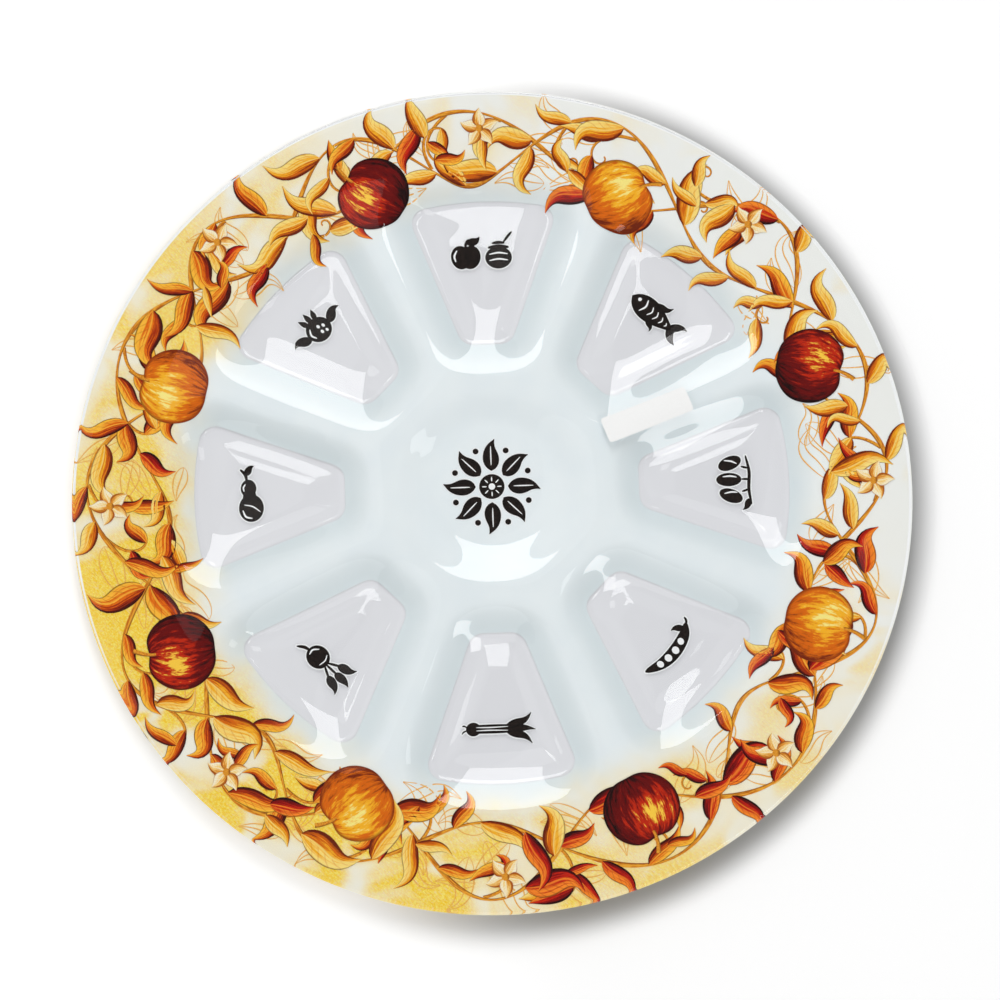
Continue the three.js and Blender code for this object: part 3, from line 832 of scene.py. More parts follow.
def apple_finish(name, light, middle, dark, deep):
    """A painted apple: streaks along its meridians, a bright patch up left, a dark far side."""
    finish = Finish(name)
    x, y, seed = finish.read("form")
    meridian = x / ((1.08 - y * y).most(0.05) ** 0.5)
    place = finish.together(meridian * 6.0 + seed * 13, y * 1.1 + seed * 7, seed)
    streak = finish.noise(place, 1.5, 5.0, 0.7)
    away = ((x + 0.28) ** 2 + (y - 0.24) ** 2) ** 0.5
    shade = away * 0.74 + (streak - 0.5) * 1.9
    steps = (0.05, 0.22), (0.30, 0.58), (0.66, 1.05)
    body = painted(finish, shade, (light, middle, dark, deep), steps)
    radius = (x * x + y * y) ** 0.5
    return finish.enamel(finish.mix(radius.step(0.88, 1.0) * 0.8, body, deep))


def stem_finish(name, light, dark, edge):
    """A drawn line or stem with darker edges and streaks along it."""
    finish = Finish(name)
    across, along, seed = finish.read("form")
    streak = finish.noise(finish.together(across * 2 + seed * 9, along * 40, seed), 1.0, 4.0)
    body = finish.mix(streak.step(0.35, 0.6), dark, light)
    return finish.enamel(finish.mix(across.step(0.2, 0.9) * 0.75, body, edge))


# The border's pieces in turn, and each one's finish: its name, its kind and its screen colours,
# the lightest first
GOLD_LEAF = (255, 224, 128), (248, 176, 36), (214, 98, 8), (104, 30, 4)
AMBER_LEAF = (255, 190, 60), (230, 104, 8), (164, 44, 4), (64, 10, 2)
CRIMSON_LEAF = (250, 140, 40), (204, 34, 10), (132, 6, 4), (36, 2, 2)
PETAL = (255, 244, 212), (252, 214, 130), (230, 150, 50), (170, 84, 20)
STEM = (240, 168, 52), (196, 104, 18), (112, 44, 12)
FINE_LINE = (252, 208, 116), (238, 164, 58), (214, 124, 30)
GOLD_APPLE = (255, 234, 136), (250, 180, 36), (222, 104, 8), (118, 36, 2)
CRIMSON_APPLE = (255, 206, 70), (196, 40, 8), (104, 4, 3), (24, 1, 1)
BORDER = {
    "gold_leaves": ("gold_leaf", leaf_finish, GOLD_LEAF),
    "amber_leaves": ("amber_leaf", leaf_finish, AMBER_LEAF),
    "crimson_leaves": ("crimson_leaf", leaf_finish, CRIMSON_LEAF),
    "blossoms": ("blossom", leaf_finish, PETAL),
    "vine_stems": ("border_stem", stem_finish, STEM),
    "fine_lines": ("fine_line", stem_finish, FINE_LINE),
    "gold_apples": ("gold_apple", apple_finish, GOLD_APPLE),
    "crimson_apples": ("crimson_apple", apple_finish, CRIMSON_APPLE),
}

VINE_MIDDLE = 143.5
VINE_SWING = 14.5
VINE_STEPS = 60
VINE_LEAVES = 8
LEAF_WIDTHS = (0.13, 0.20)
LEAF_INSIDE = 113
LEAF_OUTSIDE = PLATE_RADIUS + 7
# Side of the vine, and place within the sector
TENDRILS = ((1, 0.18), (1, 0.70), (-1, 0.40), (-1, 0.92), (1, 0.46), (-1, 0.10))
TENDRIL_POINTS = 44
TENDRIL_TRIES = 40
TENDRIL_LEAVES = (12, 22)
SKETCH_COUNT = 110
SKETCH_ROWS = 22
APPLE_REACH = 134.5
APPLE_RADIUS = 14.6
APPLE_CELLS = 21
STALK_LENGTH = 8.5
BLOSSOM_REACH = 150.5
PETALS = 5

# Depths of the prints under the top one, each with a small step between its shapes
APPLE_DEPTH = 0.07
STALK_DEPTH = 0.062
EYE_DEPTH = 0.066
PETAL_DEPTH = 0.080
LEAF_DEPTH = 0.10
LEAF_DEPTHS = 0.09
VINE_DEPTH = 0.200
TENDRIL_DEPTH = 0.212
SKETCH_DEPTH = 0.222
DEPTH_STEP = 0.002

rng = np.random.default_rng(8)


def vine(angle, side):
    """A vine's plan: its reach is a wave that swaps sides at each apple, and drifts slowly."""
    wave = VINE_SWING * np.cos(WELL_COUNT * (angle - HALF_PITCH) + 0.5 * np.sin(3 * angle + side))
    reach = VINE_MIDDLE + side * wave + 2.0 * np.sin(5 * angle + 2 * side)
    return pairs(reach * np.cos(angle), reach * np.sin(angle))


def vine_heading(angle, side):
    """Direction of the vine at an angle, from its slope there."""
    run = vine(angle + 0.004, side) - vine(angle - 0.004, side)
    return np.arctan2(run[..., 1], run[..., 0])


def spiral(root, heading, size, turns, side):
    """A tendril: its heading turns faster and faster as its steps shrink."""
    share = np.linspace(0, 1, TENDRIL_POINTS)
    angle = heading + side * turns * 2 * math.pi * share**1.7
    step = size * (1 - 0.86 * share) / TENDRIL_POINTS
    x = root[0] + np.cumsum(np.cos(angle) * step)
    y = root[1] + np.cumsum(np.sin(angle) * step)
    return pairs(x, y)


def within(plan, inside, outside):
    """Whether each shape keeps between two distances from the middle."""
    reach = np.linalg.norm(plan, axis=-1).reshape(len(plan), -1)
    return (reach.max(axis=1) < outside) & (reach.min(axis=1) > inside)


def draw_vines(stems):
    """Two crossing vines, eight lengths each, whose width swells in waves."""
    angles = np.linspace(0, 2 * math.pi, WELL_COUNT * VINE_STEPS + 1)
    along = np.linspace(0, 1, VINE_STEPS + 1)
    number = np.arange(WELL_COUNT)
    for side, deeper in ((1, 0.0), (-1, 0.006)):
        starts = number * VINE_STEPS
        paths = np.stack([vine(angles[i : i + VINE_STEPS + 1], side) for i in starts])
        shapes = ribbon_shapes(paths, 0.72 + 0.26 * np.sin(along * 6 * math.pi + side))
        depth = VINE_DEPTH + deeper + DEPTH_STEP * (number % 2)
        stems.add(shapes, number / WELL_COUNT + deeper, depth)


def vine_leaves(sector, leaves):
    """Leaves on both vines, turned to alternate sides: root, heading, length and bend."""
    for side in (1, -1):
        for j in range(VINE_LEAVES):
            angle = 2 * HALF_PITCH * sector + (j + 0.5) / VINE_LEAVES * 2 * HALF_PITCH
            angle = np.array(angle + rng.normal(0, 0.010))
            lean = (1 if (j + sector) % 2 else -1) * rng.uniform(0.5, 1.0)
            bend = -math.copysign(rng.uniform(0.5, 1.3), lean)
            heading = vine_heading(angle, side) + lean
            leaves.append((vine(angle, side), heading, rng.uniform(15, 29), bend))


def draw_tendrils(sector, stems, leaves):
    """Tendrils off the vines that keep on the rim, each with two small leaves."""
    tendrils = []
    for side, at in TENDRILS:
        angle = np.array(2 * HALF_PITCH * sector + at * 2 * HALF_PITCH)
        root = vine(angle, side)
        for _ in range(TENDRIL_TRIES):
            wing = rng.choice([-1, 1])
            heading = vine_heading(angle, side) + wing * rng.uniform(0.2, 0.6)
            tendril = spiral(root, heading, rng.uniform(34, 62), rng.uniform(0.9, 1.3), wing)
            if within(tendril[None], 122, PLATE_RADIUS - 4):
                break
        tendrils.append(tendril)
    shapes = ribbon_shapes(np.stack(tendrils), np.linspace(0.7, 0.28, TENDRIL_POINTS))
    number = np.arange(len(tendrils))
    stems.add(shapes, rng.random(len(number)), TENDRIL_DEPTH + DEPTH_STEP * number)
    for tendril in tendrils:
        for at in TENDRIL_LEAVES:
            run = tendril[at + 1] - tendril[at]
            heading = math.atan2(run[1], run[0]) + rng.choice([-1, 1]) * rng.uniform(0.6, 1.0)
            leaves.append((tendril[at], heading, rng.uniform(12, 20), rng.uniform(-1.1, 1.1)))


def draw_leaves(leaves, colours):
    """The leaves in three colours: crimson ones mostly on one side, amber ones opposite."""
    root, heading, length, bend = (np.array(column) for column in zip(*leaves))
    half_width = length * rng.uniform(*LEAF_WIDTHS, len(leaves))
    plan, form = leaf_shapes(root, heading, length, half_width, bend)
    where = np.arctan2(root[:, 1], root[:, 0])
    red_side = np.exp(-(((np.degrees(where) + 50) / 38) ** 2))
    warm = 0.5 + 0.5 * np.cos(where - math.radians(215))
    draw = rng.random(len(leaves))
    kind = np.where(draw < 0.13 + 0.62 * red_side, 2, np.where(draw > 0.85 - 0.50 * warm, 1, 0))
    depth = LEAF_DEPTH + LEAF_DEPTHS * rng.permutation(len(leaves)) / len(leaves)
    inside = within(plan, LEAF_INSIDE, LEAF_OUTSIDE)
    for k, prints in enumerate(colours):
        chosen = inside & (kind == k)
        prints.add((plan[chosen], form[chosen]), rng.random(chosen.sum()), depth[chosen])


def draw_apple(sector, apples, stems):
    """An apple with dents at its top and bottom, and a bent stalk."""
    angle = HALF_PITCH * (2 * sector + 1) + rng.uniform(-0.07, 0.07)
    centre = (APPLE_REACH + rng.uniform(-3, 5)) * direction(angle)
    tilt = angle - math.pi / 2 + rng.uniform(-0.9, 0.9)

    def outline(a):
        top = 0.13 * np.exp(-(((a - math.pi / 2) / 0.34) ** 2))
        bottom = 0.05 * np.exp(-(((a + math.pi / 2) / 0.3) ** 2))
        return APPLE_RADIUS * (1 - top - bottom + 0.035 * np.cos(2 * a))

    apples.add(disc_shapes(centre, outline, tilt, APPLE_CELLS), 0.13 * sector, APPLE_DEPTH)
    up = np.array([-math.sin(tilt), math.cos(tilt)])
    share = np.linspace(0, 1, 12)[:, None]
    stalk = centre + up * (APPLE_RADIUS * 0.66) + up * share * STALK_LENGTH
    stalk += share**2 * np.array([up[1], -up[0]]) * 2.5
    stems.add(ribbon_shapes(stalk[None], np.linspace(0.55, 0.9, 12)), 0.4, STALK_DEPTH)


def draw_blossom(sector, blossoms, stems):
    """Five petals round an eye."""
    angle = HALF_PITCH * 2 * sector
    centre = BLOSSOM_REACH * direction(angle)
    number = np.arange(PETALS)
    heading = angle + 2 * math.pi * number / PETALS
    sizes = (np.full(PETALS, size) for size in (7.6, 2.5, 0.3))
    petals = leaf_shapes(centre + 0.6 * direction(heading), heading, *sizes)
    blossoms.add(petals, rng.random(PETALS), PETAL_DEPTH + DEPTH_STEP * number)
    stems.add(disc_shapes(centre, lambda a: 1.5 + 0 * a, 0.0, 7), 0.7, EYE_DEPTH)


def draw_sketches(lines, draws):
    """Fine gold lines on the ground between the painted leaves: a leaf's edges and its midrib."""
    where = draws.uniform(0, 2 * math.pi, SKETCH_COUNT)
    root = draws.uniform(121, 160, SKETCH_COUNT)[:, None] * direction(where)
    heading = where + draws.uniform(-2.4, 2.4, SKETCH_COUNT)
    length = draws.uniform(14, 27, SKETCH_COUNT)
    half_width = length * draws.uniform(*LEAF_WIDTHS, SKETCH_COUNT)
    bend = draws.uniform(-1.2, 1.2, SKETCH_COUNT)
    plan, _ = leaf_shapes(root, heading, length, half_width, bend, rows=SKETCH_ROWS)
    plan = plan[within(plan, 116, PLATE_RADIUS + 3)]
    paths = np.concatenate([plan[:, :, 0], plan[:, :, 2], plan[:, :, 4]])
    swell = 0.10 + 0.16 * np.sin(math.pi * np.linspace(0, 1, SKETCH_ROWS))
    number = np.arange(len(paths))
    depth = SKETCH_DEPTH + 0.0001 * number
    lines.add(ribbon_shapes(paths, swell), draws.random(len(paths)), depth)


def make_border():
    """Draws every shape of the border, in the order of its random numbers, then the pieces."""
    prints = {name: Print() for name in BORDER}
    stems = prints["vine_stems"]
    draw_vines(stems)
    leaves = []
    for sector in range(WELL_COUNT):
        vine_leaves(sector, leaves)
        draw_tendrils(sector, stems, leaves)
    draw_leaves(leaves, [prints[f"{name}_leaves"] for name in ("gold", "amber", "crimson")])
    for sector in range(WELL_COUNT):
        draw_apple(sector, prints["gold_apples" if sector % 2 else "crimson_apples"], stems)
    for sector in range(WELL_COUNT):
        draw_blossom(sector, prints["blossoms"], stems)
    draw_sketches(prints["fine_lines"], np.random.default_rng(3))
    for piece, (look, kind, colours) in BORDER.items():
        finish = kind(look, *(colour(*each) for each in colours))
        prints[piece].piece(piece, finish, "border_enamel", "border_print")


make_border()


# Ink marks: a food in each well and a ring of leaves in the centre dish

STROKE_POINTS = 28
OVAL_CELLS = 15
BLADE_ROWS = 17


def curve_through(points):
    """A smooth path through a few points: a Catmull-Rom spline at even shares."""
    ends = np.concatenate([[2 * points[0] - points[1]], points, [2 * points[-1] - points[-2]]])
    share = np.linspace(0, len(points) - 1, STROKE_POINTS)
    first = np.minimum(share.astype(int), len(points) - 2)
    t = (share - first)[:, None]
    a, b, c, d = (ends[first + i] for i in range(4))
    return 0.5 * (
        2 * b + (c - a) * t + (2 * a - 5 * b + 4 * c - d) * t**2 + (3 * b - a - 3 * c + d) * t**3
    )


# Each kind of shape gives a function of how far the shape is grown outwards for its white edge


def line(widest, *numbers, ends=0.35):
    """A brush stroke: half its width is a rounded hump from its ends to its middle."""

    def grid(grow):
        path = curve_through(np.reshape(numbers, (-1, 2)).astype(float))
        share = np.linspace(0, 1, len(path))
        half = widest / 2 * (ends + (1 - ends) * np.sin(math.pi * share) ** 0.6)
        if grow:
            path[0] -= grow * (path[1] - path[0]) / np.linalg.norm(path[1] - path[0])
            path[-1] += grow * (path[-1] - path[-2]) / np.linalg.norm(path[-1] - path[-2])
        return ribbon_shapes(path[None], half + grow)

    return grid


def oval(x, y, across, up, degrees=0.0):
    """An ellipse, turned by some degrees: its reach is a product over a root of squares."""

    def grid(grow):
        a, b = across + grow, up + grow
        reach = lambda angle: a * b / np.hypot(b * np.cos(angle), a * np.sin(angle))
        return disc_shapes((x, y), reach, math.radians(degrees), OVAL_CELLS)

    return grid


def blade(x, y, to_x, to_y, half_width, bend=0.0):
    """A leaf from one place to another, whose heading starts a little against its bend."""

    def grid(grow):
        run = np.array([to_x - x, to_y - y])
        length = np.linalg.norm(run)
        start = np.array([x, y]) - grow * run / length
        heading = math.atan2(run[1], run[0]) - 0.22 * bend
        width = half_width + grow
        return leaf_shapes(start, heading, length + 2 * grow, width, bend, rows=BLADE_ROWS)

    return grid


# The wells' marks go round anticlockwise from +X. The last three are read from the near side.
# Each has its ink shapes, and the white details over them.
MARKS = {
    "dates": (
        [
            oval(-6.6, -1.4, 2.7, 4.8, 22), oval(0, -2, 2.7, 5), oval(6.6, -1.4, 2.7, 4.8, -22),
            line(1.3, -9.6, 5, -3, 6.2, 4, 5.8, 10.4, 6.6),
            line(0.9, -4.4, 5.9, -4.8, 4.4, -5.2, 3), line(0.9, 0.2, 6.1, 0, 4.6, 0, 3),
            line(0.9, 4, 5.9, 4.6, 4.4, 5, 3), blade(8, 6.2, 13, 3.6, 1.2, 0.5),
        ],
        [
            line(0.65, -7.8, -3.6, -7.4, -0.8, -6.4, 1.4),
            line(0.65, -1.2, -4.4, -1.4, -1.4, -0.9, 1.2), line(0.65, 5.6, -4, 5.1, -1.2, 5.3, 1.2),
        ],
    ),
    "fish": (
        [
            blade(-12.6, 0, 10.4, 0, 4.7), blade(7, 0, 13.4, 4.9, 1.5, 0.5),
            blade(7, 0, 13.4, -4.9, 1.5, -0.5), blade(-3.4, 3, 4.6, 6, 1.4, -0.7),
            blade(-1.6, -3.2, 3.2, -5.8, 1, 0.7),
        ],
        [
            oval(-9.2, 0.9, 0.75, 0.75), line(0.75, -6.4, 3, -5.4, 0.2, -6.4, -2.8),
            line(0.55, -2.9, 2.2, -2, 0.2, -2.9, -2), line(0.55, -0.1, 2, 0.7, 0.2, -0.1, -1.8),
            line(0.55, 2.7, 1.6, 3.4, 0.1, 2.7, -1.4), line(0.5, 5.3, 0.9, 5.8, 0, 5.3, -0.8),
        ],
    ),
    "apple_and_honey": (
        [
            oval(-9.3, -1.2, 4, 4.9, 10), oval(-5.3, -1.2, 4, 4.9, -10),
            line(1.2, -7.4, 2.4, -7, 4.6, -6, 6.4), blade(-6.6, 4.2, -0.9, 6.6, 1.6, -0.6),
            oval(6, -1.6, 5.4, 4.6), line(1.7, 1.8, 2.6, 6, 3, 10.2, 2.6),
            line(1.3, 3.4, 4.4, 6, 4.7, 8.6, 4.4), line(1.1, 8, 4.6, 10, 7.2, 11.6, 9),
        ],
        [
            line(0.8, -11.4, -3, -11.9, -0.6, -10.8, 1.8), line(0.7, 2.2, -0.2, 6, 0.4, 9.8, -0.2),
            line(0.7, 2.2, -2.8, 6, -2.2, 9.8, -2.8),
        ],
    ),
    "pomegranate": (
        [
            oval(0, -1.2, 5.4, 5.1), blade(-2, 2.6, -3.6, 7, 1), blade(0, 2.8, 0, 7.8, 1),
            blade(2, 2.6, 3.6, 7, 1), blade(-4.8, -2, -12.6, 1.8, 1.9, -0.8),
            blade(4.8, -2, 12.6, 1.8, 1.9, 0.8),
        ],
        [
            line(0.75, -3.2, -3.2, -3.9, -0.9, -2.6, 1.4), oval(0.6, -0.2, 0.62, 0.8),
            oval(2.5, -1.2, 0.62, 0.8), oval(0.4, -2.8, 0.62, 0.8), oval(2.3, -3.6, 0.55, 0.7),
        ],
    ),
    "gourd": (
        [
            oval(-5, -0.6, 5.6, 4.9), oval(3, 0.4, 3.6, 3.1), oval(-0.6, 0, 3.4, 2.7),
            line(1.3, 5.6, 1, 8.6, 1.6, 10.8, 3.6), blade(8.4, 1.6, 12.8, -1.4, 1.3, 0.6),
        ],
        [
            line(0.75, -9.2, -1, -8.4, 1.6, -5.8, 2.8),
            line(0.55, -6.6, -4.2, -4.4, -1.2, -3.6, 2.2), line(0.6, 1.8, 2.2, 3.4, 2.4, 4.8, 1.6),
        ],
    ),
    "beet": (
        [
            oval(-3.6, 0, 4.9, 4.4), line(1.3, -7.6, -0.2, -10.2, -0.8, -12.8, -2.6, ends=0.25),
            line(1, 0.4, 0.6, 3.4, 2.2, 6, 3.6), line(1, 0.6, 0, 4, 0, 7, 0),
            line(1, 0.4, -0.6, 3.4, -2.2, 6, -3.6), blade(4.4, 2.6, 12.2, 5.4, 1.7, -0.5),
            blade(5.6, 0, 13.6, 0, 1.6, 0.3), blade(4.4, -2.6, 12.2, -5.4, 1.7, 0.5),
        ],
        [
            line(0.65, -6.8, -1.6, -7.1, 0.6, -5.4, 2.6), line(0.5, -1.6, 3, -0.6, 0.8, -1, -2),
        ],
    ),
    "leek": (
        [
            oval(-10.6, 0, 2.9, 2.7), line(3.6, -10, 0, -3, 0, 4, 0, ends=0.9),
            blade(2, 0.4, 13.4, 4.8, 1.5, -0.5), blade(2.4, 0, 14, 0, 1.4, 0.2),
            blade(2, -0.4, 13.4, -4.8, 1.5, 0.5), line(0.6, -12.8, 0.6, -14.2, 1.4, -15, 1.2),
            line(0.6, -13, -0.4, -14.4, -0.9, -15.2, -1.8),
        ],
        [
            line(0.45, -9.4, 0.7, -4, 0.6, 3, 0.8), line(0.45, -9.4, -0.6, -4, -0.5, 3, -0.7),
        ],
    ),
    "bean_pod": (
        [
            line(5.2, -13, 1.8, -6, -0.8, 1, -1.2, 8, 0.4, 12.6, 3.4, ends=0.1),
            line(1, 11.4, 2.4, 13.2, 3.8, 13.8, 5.4), blade(10.6, 2.6, 6.4, 6.2, 1.2, -0.5),
        ],
        [
            oval(-6.6, -0.5, 1.25, 1.45, 15), oval(-2.6, -1.1, 1.4, 1.55, 5),
            oval(1.6, -1.1, 1.4, 1.55, -5), oval(5.6, -0.2, 1.25, 1.4, -18),
        ],
    ),
}
READ_OUTWARDS = 5
MARK_REACH = WELL_MIDDLE + 8.0

# Depths under the top print, and how far the white edge reaches round the ink
INK_DEPTH = 0.12
DETAIL_DEPTH = INK_DEPTH - 0.05
EDGE_DEPTH = 0.20
EDGE_WIDTH = 0.5
MARK_DEPTH_STEP = 0.001


def ink_finish():
    """Dark brown print, a little lighter inside its strokes."""
    finish = Finish("dark_ink")
    mottle = finish.noise(finish.place(), 900.0, 3.0, 0.6)
    across, _, _ = finish.read("form")
    body = finish.mix(mottle.step(0.35, 0.7), colour(20, 13, 10), colour(40, 29, 24))
    return finish.enamel(finish.mix(abs(across).step(0.0, 0.8) * 0.6, body, colour(14, 9, 8)))


def white_finish():
    """The white under-print that shows as a thin edge round the ink."""
    finish = Finish("white_print")
    grain = finish.noise(finish.place(), 1500.0, 2.0)
    return finish.enamel(finish.mix(grain, colour(244, 245, 246), colour(250, 250, 250)))


def make_mark(name, node, ink_shapes, white_shapes, place, angle, level, looks):
    """One printed mark: ink, the white edge under it, and fine white details over it."""
    ink, white = Print(), Print()
    rows = [(shape, 0.0, INK_DEPTH, ink) for shape in ink_shapes]
    rows += [(shape, 0.0, DETAIL_DEPTH, white) for shape in white_shapes]
    rows += [(shape, EDGE_WIDTH, EDGE_DEPTH, white) for shape in ink_shapes]
    for i, (shape, grow, depth, prints) in enumerate(rows):
        plan, form = shape(grow)
        plan = turn(plan, angle) + place
        prints.add((plan, form), 0.1 * i, depth + MARK_DEPTH_STEP * i, level)
    for prints, look, ending in zip((ink, white), looks, ("ink", "edge")):
        prints.piece(f"{name}_{ending}", look, "dark_ink", node)


def make_marks():
    """The eight foods, then the ring of leaves with its midribs, its eye's rays and its dots."""
    looks = ink_finish(), white_finish()
    for i, (name, shapes) in enumerate(MARKS.items()):
        heading = 2 * HALF_PITCH * i
        place = MARK_REACH * direction(heading) + SHIFT
        angle = heading + (-math.pi / 2 if i < READ_OUTWARDS else math.pi / 2)
        make_mark(f"mark_{name}", f"well_mark_{name}", *shapes, place, angle, FLOOR_RISE, looks)
    leaves, lines = [oval(0, 0, 5.0, 5.0)], [oval(0, 0, 1.3, 1.3)]
    for k in range(8):
        ray = direction(2 * HALF_PITCH * k)
        leaves.append(blade(*(6.4 * ray), *(19.6 * ray), 3.1, 0.45))
        for reaches in ((8.6, 12.0, 16.4), (2.1, 3.0, 3.9)):
            lines.append(line(0.5, *np.outer(reaches, ray).ravel()))
        leaves.append(oval(*(15.6 * direction(2 * HALF_PITCH * k + HALF_PITCH)), 1.15, 1.15))
    level = WELL_DEPTH - DISH_DEPTH
    make_mark("centre", "centre_mark", leaves, lines, SHIFT, 0.0, level, looks)


make_marks()


# The paper label on its spoke

LABEL_REACH = 67.5
LABEL_HALF_LENGTH = 18.0
LABEL_HALF_WIDTH = 5.25
LABEL_CORNER = 1.3
LABEL_HEADING = HALF_PITCH - math.radians(2.4)
LABEL_ROWS, LABEL_COLUMNS = 25, 37
PAPER = 0.12


def label_finish():
    """Smooth white paper with a trace of its fibres."""
    finish = Finish("label_paper")
    fibres = finish.noise(finish.place(), 2600.0, 4.0, 0.7)
    return finish.set(
        Base_Color=finish.mix(fibres.step(0.3, 0.7), colour(246, 246, 245), colour(252, 252, 251)),
        Roughness=0.7,
        Specular_IOR_Level=0.25,
        Normal=finish.bump(fibres, 0.2, 0.0002),
    )


def make_label():
    """A rectangle of paper bent over the ridge, its place a grid of along by across.

    Its corners are rounded: a row's half length is short by the corner's radius less the side of
    a right triangle with that radius.
    """
    centre = LABEL_REACH * direction(HALF_PITCH) + SHIFT
    run = direction(LABEL_HEADING)
    side = np.array([-run[1], run[0]])
    across = np.sin(np.linspace(-math.pi / 2, math.pi / 2, LABEL_ROWS))[:, None, None]
    across = LABEL_HALF_WIDTH * across
    beyond = np.maximum(np.abs(across) - (LABEL_HALF_WIDTH - LABEL_CORNER), 0)
    half_length = LABEL_HALF_LENGTH - LABEL_CORNER + np.sqrt(LABEL_CORNER**2 - beyond**2)
    along = half_length * np.linspace(-1, 1, LABEL_COLUMNS)[None, :, None]
    plan = (centre + along * run + across * side).reshape(-1, 2)
    bottom = face_height(plan[:, 0], plan[:, 1]) + PAPER
    quads = grid_quads(LABEL_ROWS, LABEL_COLUMNS)
    body, faces = slab(plan, quads, bottom + PAPER, bottom)
    piece = make_piece("paper_label", body, faces, label_finish(), False)
    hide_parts("stock_label")


make_label()


# Table, light and camera

TABLE_REACH = 4.0
TABLE_DROP = 0.0002
TABLE_GREY = 0.82
TABLE_WHITE = 0.99
TABLE_GLOW = 0.08
# Colour and glow of the table seen through the glass: a painted shade for the plate's shade over
# it, and a glow that evens it out
PAINTED_SHADE_UNDER_GLASS = (0.48, 0.47, 0.49)
PAINTED_FILL_UNDER_GLASS = (0.31, 0.31, 0.322)
FAR_GLOW = 0.42
BLACK = (0.0, 0.0, 0.0)
# A painted shadow beside the plate: how deep, how far it reaches, and where it stops under the
# plate
PAINTED_SHADOW = 0.61
PAINTED_SHADOW_REACH = 0.0145
PAINTED_SHADOW_INSIDE = 0.15
PAINTED_SHADOW_INSIDE_RUN = 0.012


def table_finish():
    """A plain white, with a soft shade beside the plate on its +X -Y side.

    The shade is painted on: it grows with the direction's share of (0.985, -0.17), and fades with
    the distance from the plate's circle. On the other side a stronger glow is painted light that
    keeps the table white by the plate. Through the glass the table has a painted shade, a little
    darker, with a glow that evens it. Far off, where the lamps don't reach, it glows to stay white.
    """
    finish = Finish("table")
    x, y, _ = finish.apart(finish.place())
    radius = (x * x + y * y).most(1e-8) ** 0.5
    # Painted shadow: deepest at the plate's edge on the +X -Y side, fading over a reach outwards,
    # kept off the table under the plate; bright is what is left of the white
    away = ((radius - PLATE_RADIUS * MM) / PAINTED_SHADOW_REACH).step(0.0, 1.0)
    lean = ((x * 0.985 - y * 0.17) / radius).step(-0.3, 0.35)
    beside = ((radius - PAINTED_SHADOW_INSIDE) / PAINTED_SHADOW_INSIDE_RUN).step(0.0, 1.0)
    bright = 1 - (1 - away) * beside * lean * PAINTED_SHADOW
    camera, glossy, through = finish.rays("Is Camera Ray", "Is Glossy Ray", "Is Transmission Ray")
    seen = camera.most(glossy)
    white = finish.mix(bright, BLACK, (TABLE_WHITE,) * 3)
    body = finish.mix(seen, (TABLE_GREY,) * 3, white)
    # Seen through the glass, the table takes a painted shade with an even glow, in place of the
    # plate's shade
    body = finish.mix(through, body, PAINTED_SHADE_UNDER_GLASS)
    # Painted light: three times the glow on the side away from the painted shadow, to clear the
    # shadow there; far off, a plain glow keeps the backdrop white
    glow_and_painted_light = finish.mix(lean, (3 * TABLE_GLOW,) * 3, (TABLE_GLOW,) * 3)
    glow_and_painted_light = finish.mix(radius.step(0.3, 1.2), glow_and_painted_light, (FAR_GLOW,) * 3)
    glow_and_painted_light = finish.mix(seen * bright, BLACK, glow_and_painted_light)
    glow_and_painted_light = finish.mix(through, glow_and_painted_light, PAINTED_FILL_UNDER_GLASS)
    return finish.set(
        Base_Color=body,
        Roughness=0.9,
        Specular_IOR_Level=0.1,
        Emission_Color=glow_and_painted_light,
        Emission_Strength=1.0,
    )


def make_table():
    """A large square just under the plate."""
    mesh = bpy.data.meshes.new("table")
    signs = (-1, -1), (1, -1), (1, 1), (-1, 1)
    corners = [(x * TABLE_REACH, y * TABLE_REACH, -TABLE_DROP) for x, y in signs]
    mesh.from_pydata(corners, [], [(0, 1, 2, 3)])
    mesh.materials.append(table_finish())
    put("table", mesh)


# Lamps: direction's x and y, size, radiance and roll
LAMPS = {
    "far_softbox": ((0.02, 0.636), (0.40, 1.01), 4.6, -0.10),
    "right_softbox": ((0.34, -0.28), (0.29, 0.31), 4.6, -0.9),
    "over_softbox": ((0.27, 0.03), (0.12, 0.12), 2.0, 0.0),
    "left_softbox": ((-0.50, 0.28), (1.5, 1.5), 0.4, 0.0),
    "front_softbox": ((0.12, -0.58), (1.2, 1.2), 0.9, 0.0),
}
LAMP_DISTANCE = 1.5


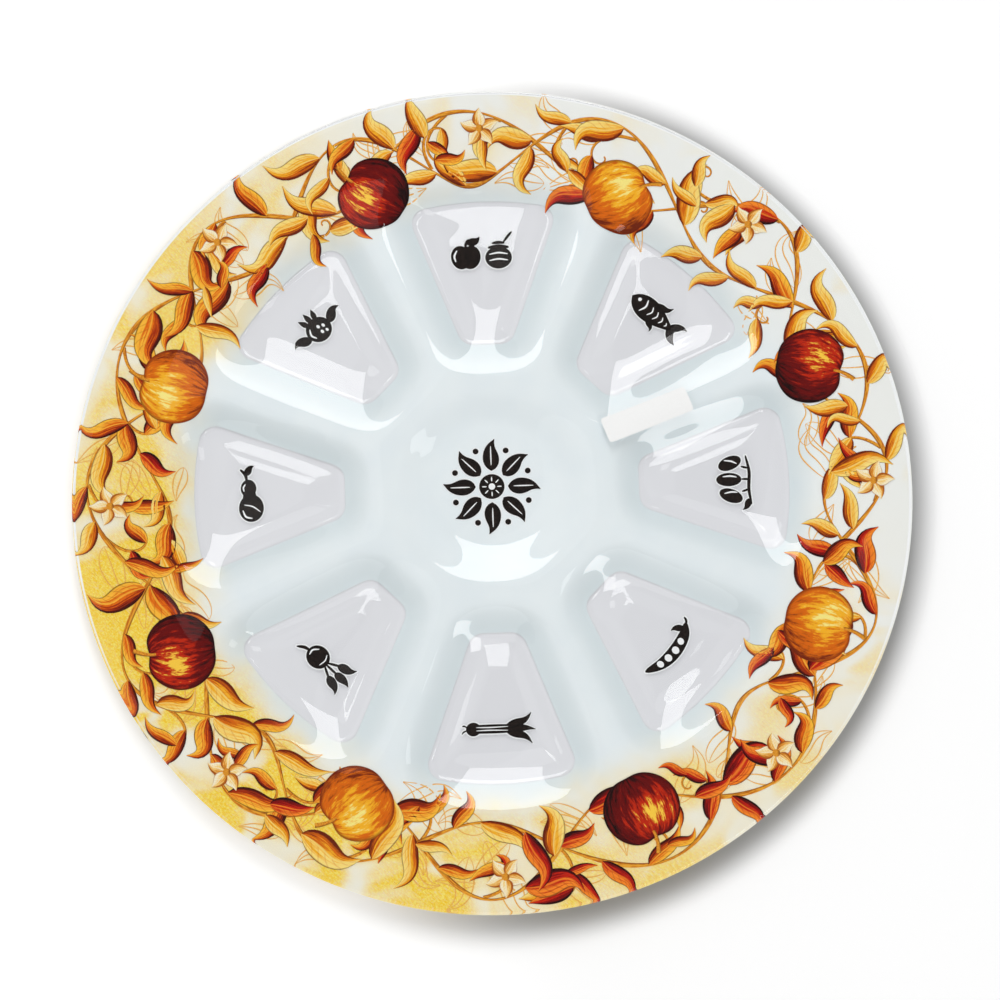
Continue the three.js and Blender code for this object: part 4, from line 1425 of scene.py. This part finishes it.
def make_softbox(name, aside, size, radiance, roll):
    """A rectangular lamp that faces the plate. Its power is its radiance times area times pi."""
    x, y = aside
    place = Vector((x, y, math.sqrt(1 - x * x - y * y))) * LAMP_DISTANCE
    lamp = bpy.data.lights.new(name, "AREA")
    lamp.shape = "RECTANGLE"
    lamp.size, lamp.size_y = size
    lamp.energy = radiance * math.pi * size[0] * size[1]
    holder = put(name, lamp)
    holder.location = place
    aim = (-place).to_track_quat("-Z", "Y").to_matrix().to_4x4()
    holder.rotation_euler = (aim @ Matrix.Rotation(roll, 4, "Z")).to_euler()


# The dome's strength, and the up part of a direction where it starts and ends to dim
DOME_LEVEL = 0.62
DOME_OVERHEAD = 0.15
DOME_EDGE = (0.78, 0.94)


def make_world():
    """A pale studio dome with a dimmer part overhead, round the camera. It shows as white."""
    world = bpy.data.worlds.new("studio")
    bpy.context.scene.world = world
    world.use_nodes = True
    nodes = Nodes(world.node_tree)
    _, _, up = nodes.apart(nodes.place("Generated"))
    dome = up.step(*DOME_EDGE, DOME_LEVEL, DOME_OVERHEAD)
    (seen,) = nodes.rays("Is Camera Ray")
    values = {"Factor": seen, "A": dome, "B": 1.0}
    strength = nodes.node("ShaderNodeMix", values=values, out="Result")
    background = world.node_tree.nodes["Background"]
    nodes.fill(background.inputs["Color"], (1.0, 1.0, 1.0))
    nodes.fill(background.inputs["Strength"], strength)


CAMERA_DISTANCE = 1.2
CAMERA_UP = math.radians(78.75)
CAMERA_TURN = math.radians(2.0)
CAMERA_LENS = 108.9
CAMERA_ASIDE = 0.00306
CAMERA_NEARER = 0.00074


def make_camera():
    """The photograph's view: from the front, 78.75 degrees up, with the wells turned 2 degrees."""
    level = CAMERA_DISTANCE * math.cos(CAMERA_UP)
    c, s = math.cos(CAMERA_TURN), math.sin(CAMERA_TURN)
    place = Vector((-s * level, -c * level, CAMERA_DISTANCE * math.sin(CAMERA_UP)))
    camera = bpy.data.cameras.new("camera")
    camera.lens = CAMERA_LENS
    camera.sensor_width = 36.0
    camera.clip_end = 20.0
    holder = put("camera", camera)
    aside = Vector((c, -s, 0.0)) * CAMERA_ASIDE - Vector((0, CAMERA_NEARER, 0))
    holder.location = place + aside
    holder.rotation_euler = (-place).to_track_quat("-Z", "Y").to_euler()
    bpy.context.scene.camera = holder


make_table()
make_world()
for name, numbers in LAMPS.items():
    make_softbox(name, *numbers)
make_camera()

bpy.context.scene.view_settings.view_transform = "Standard"
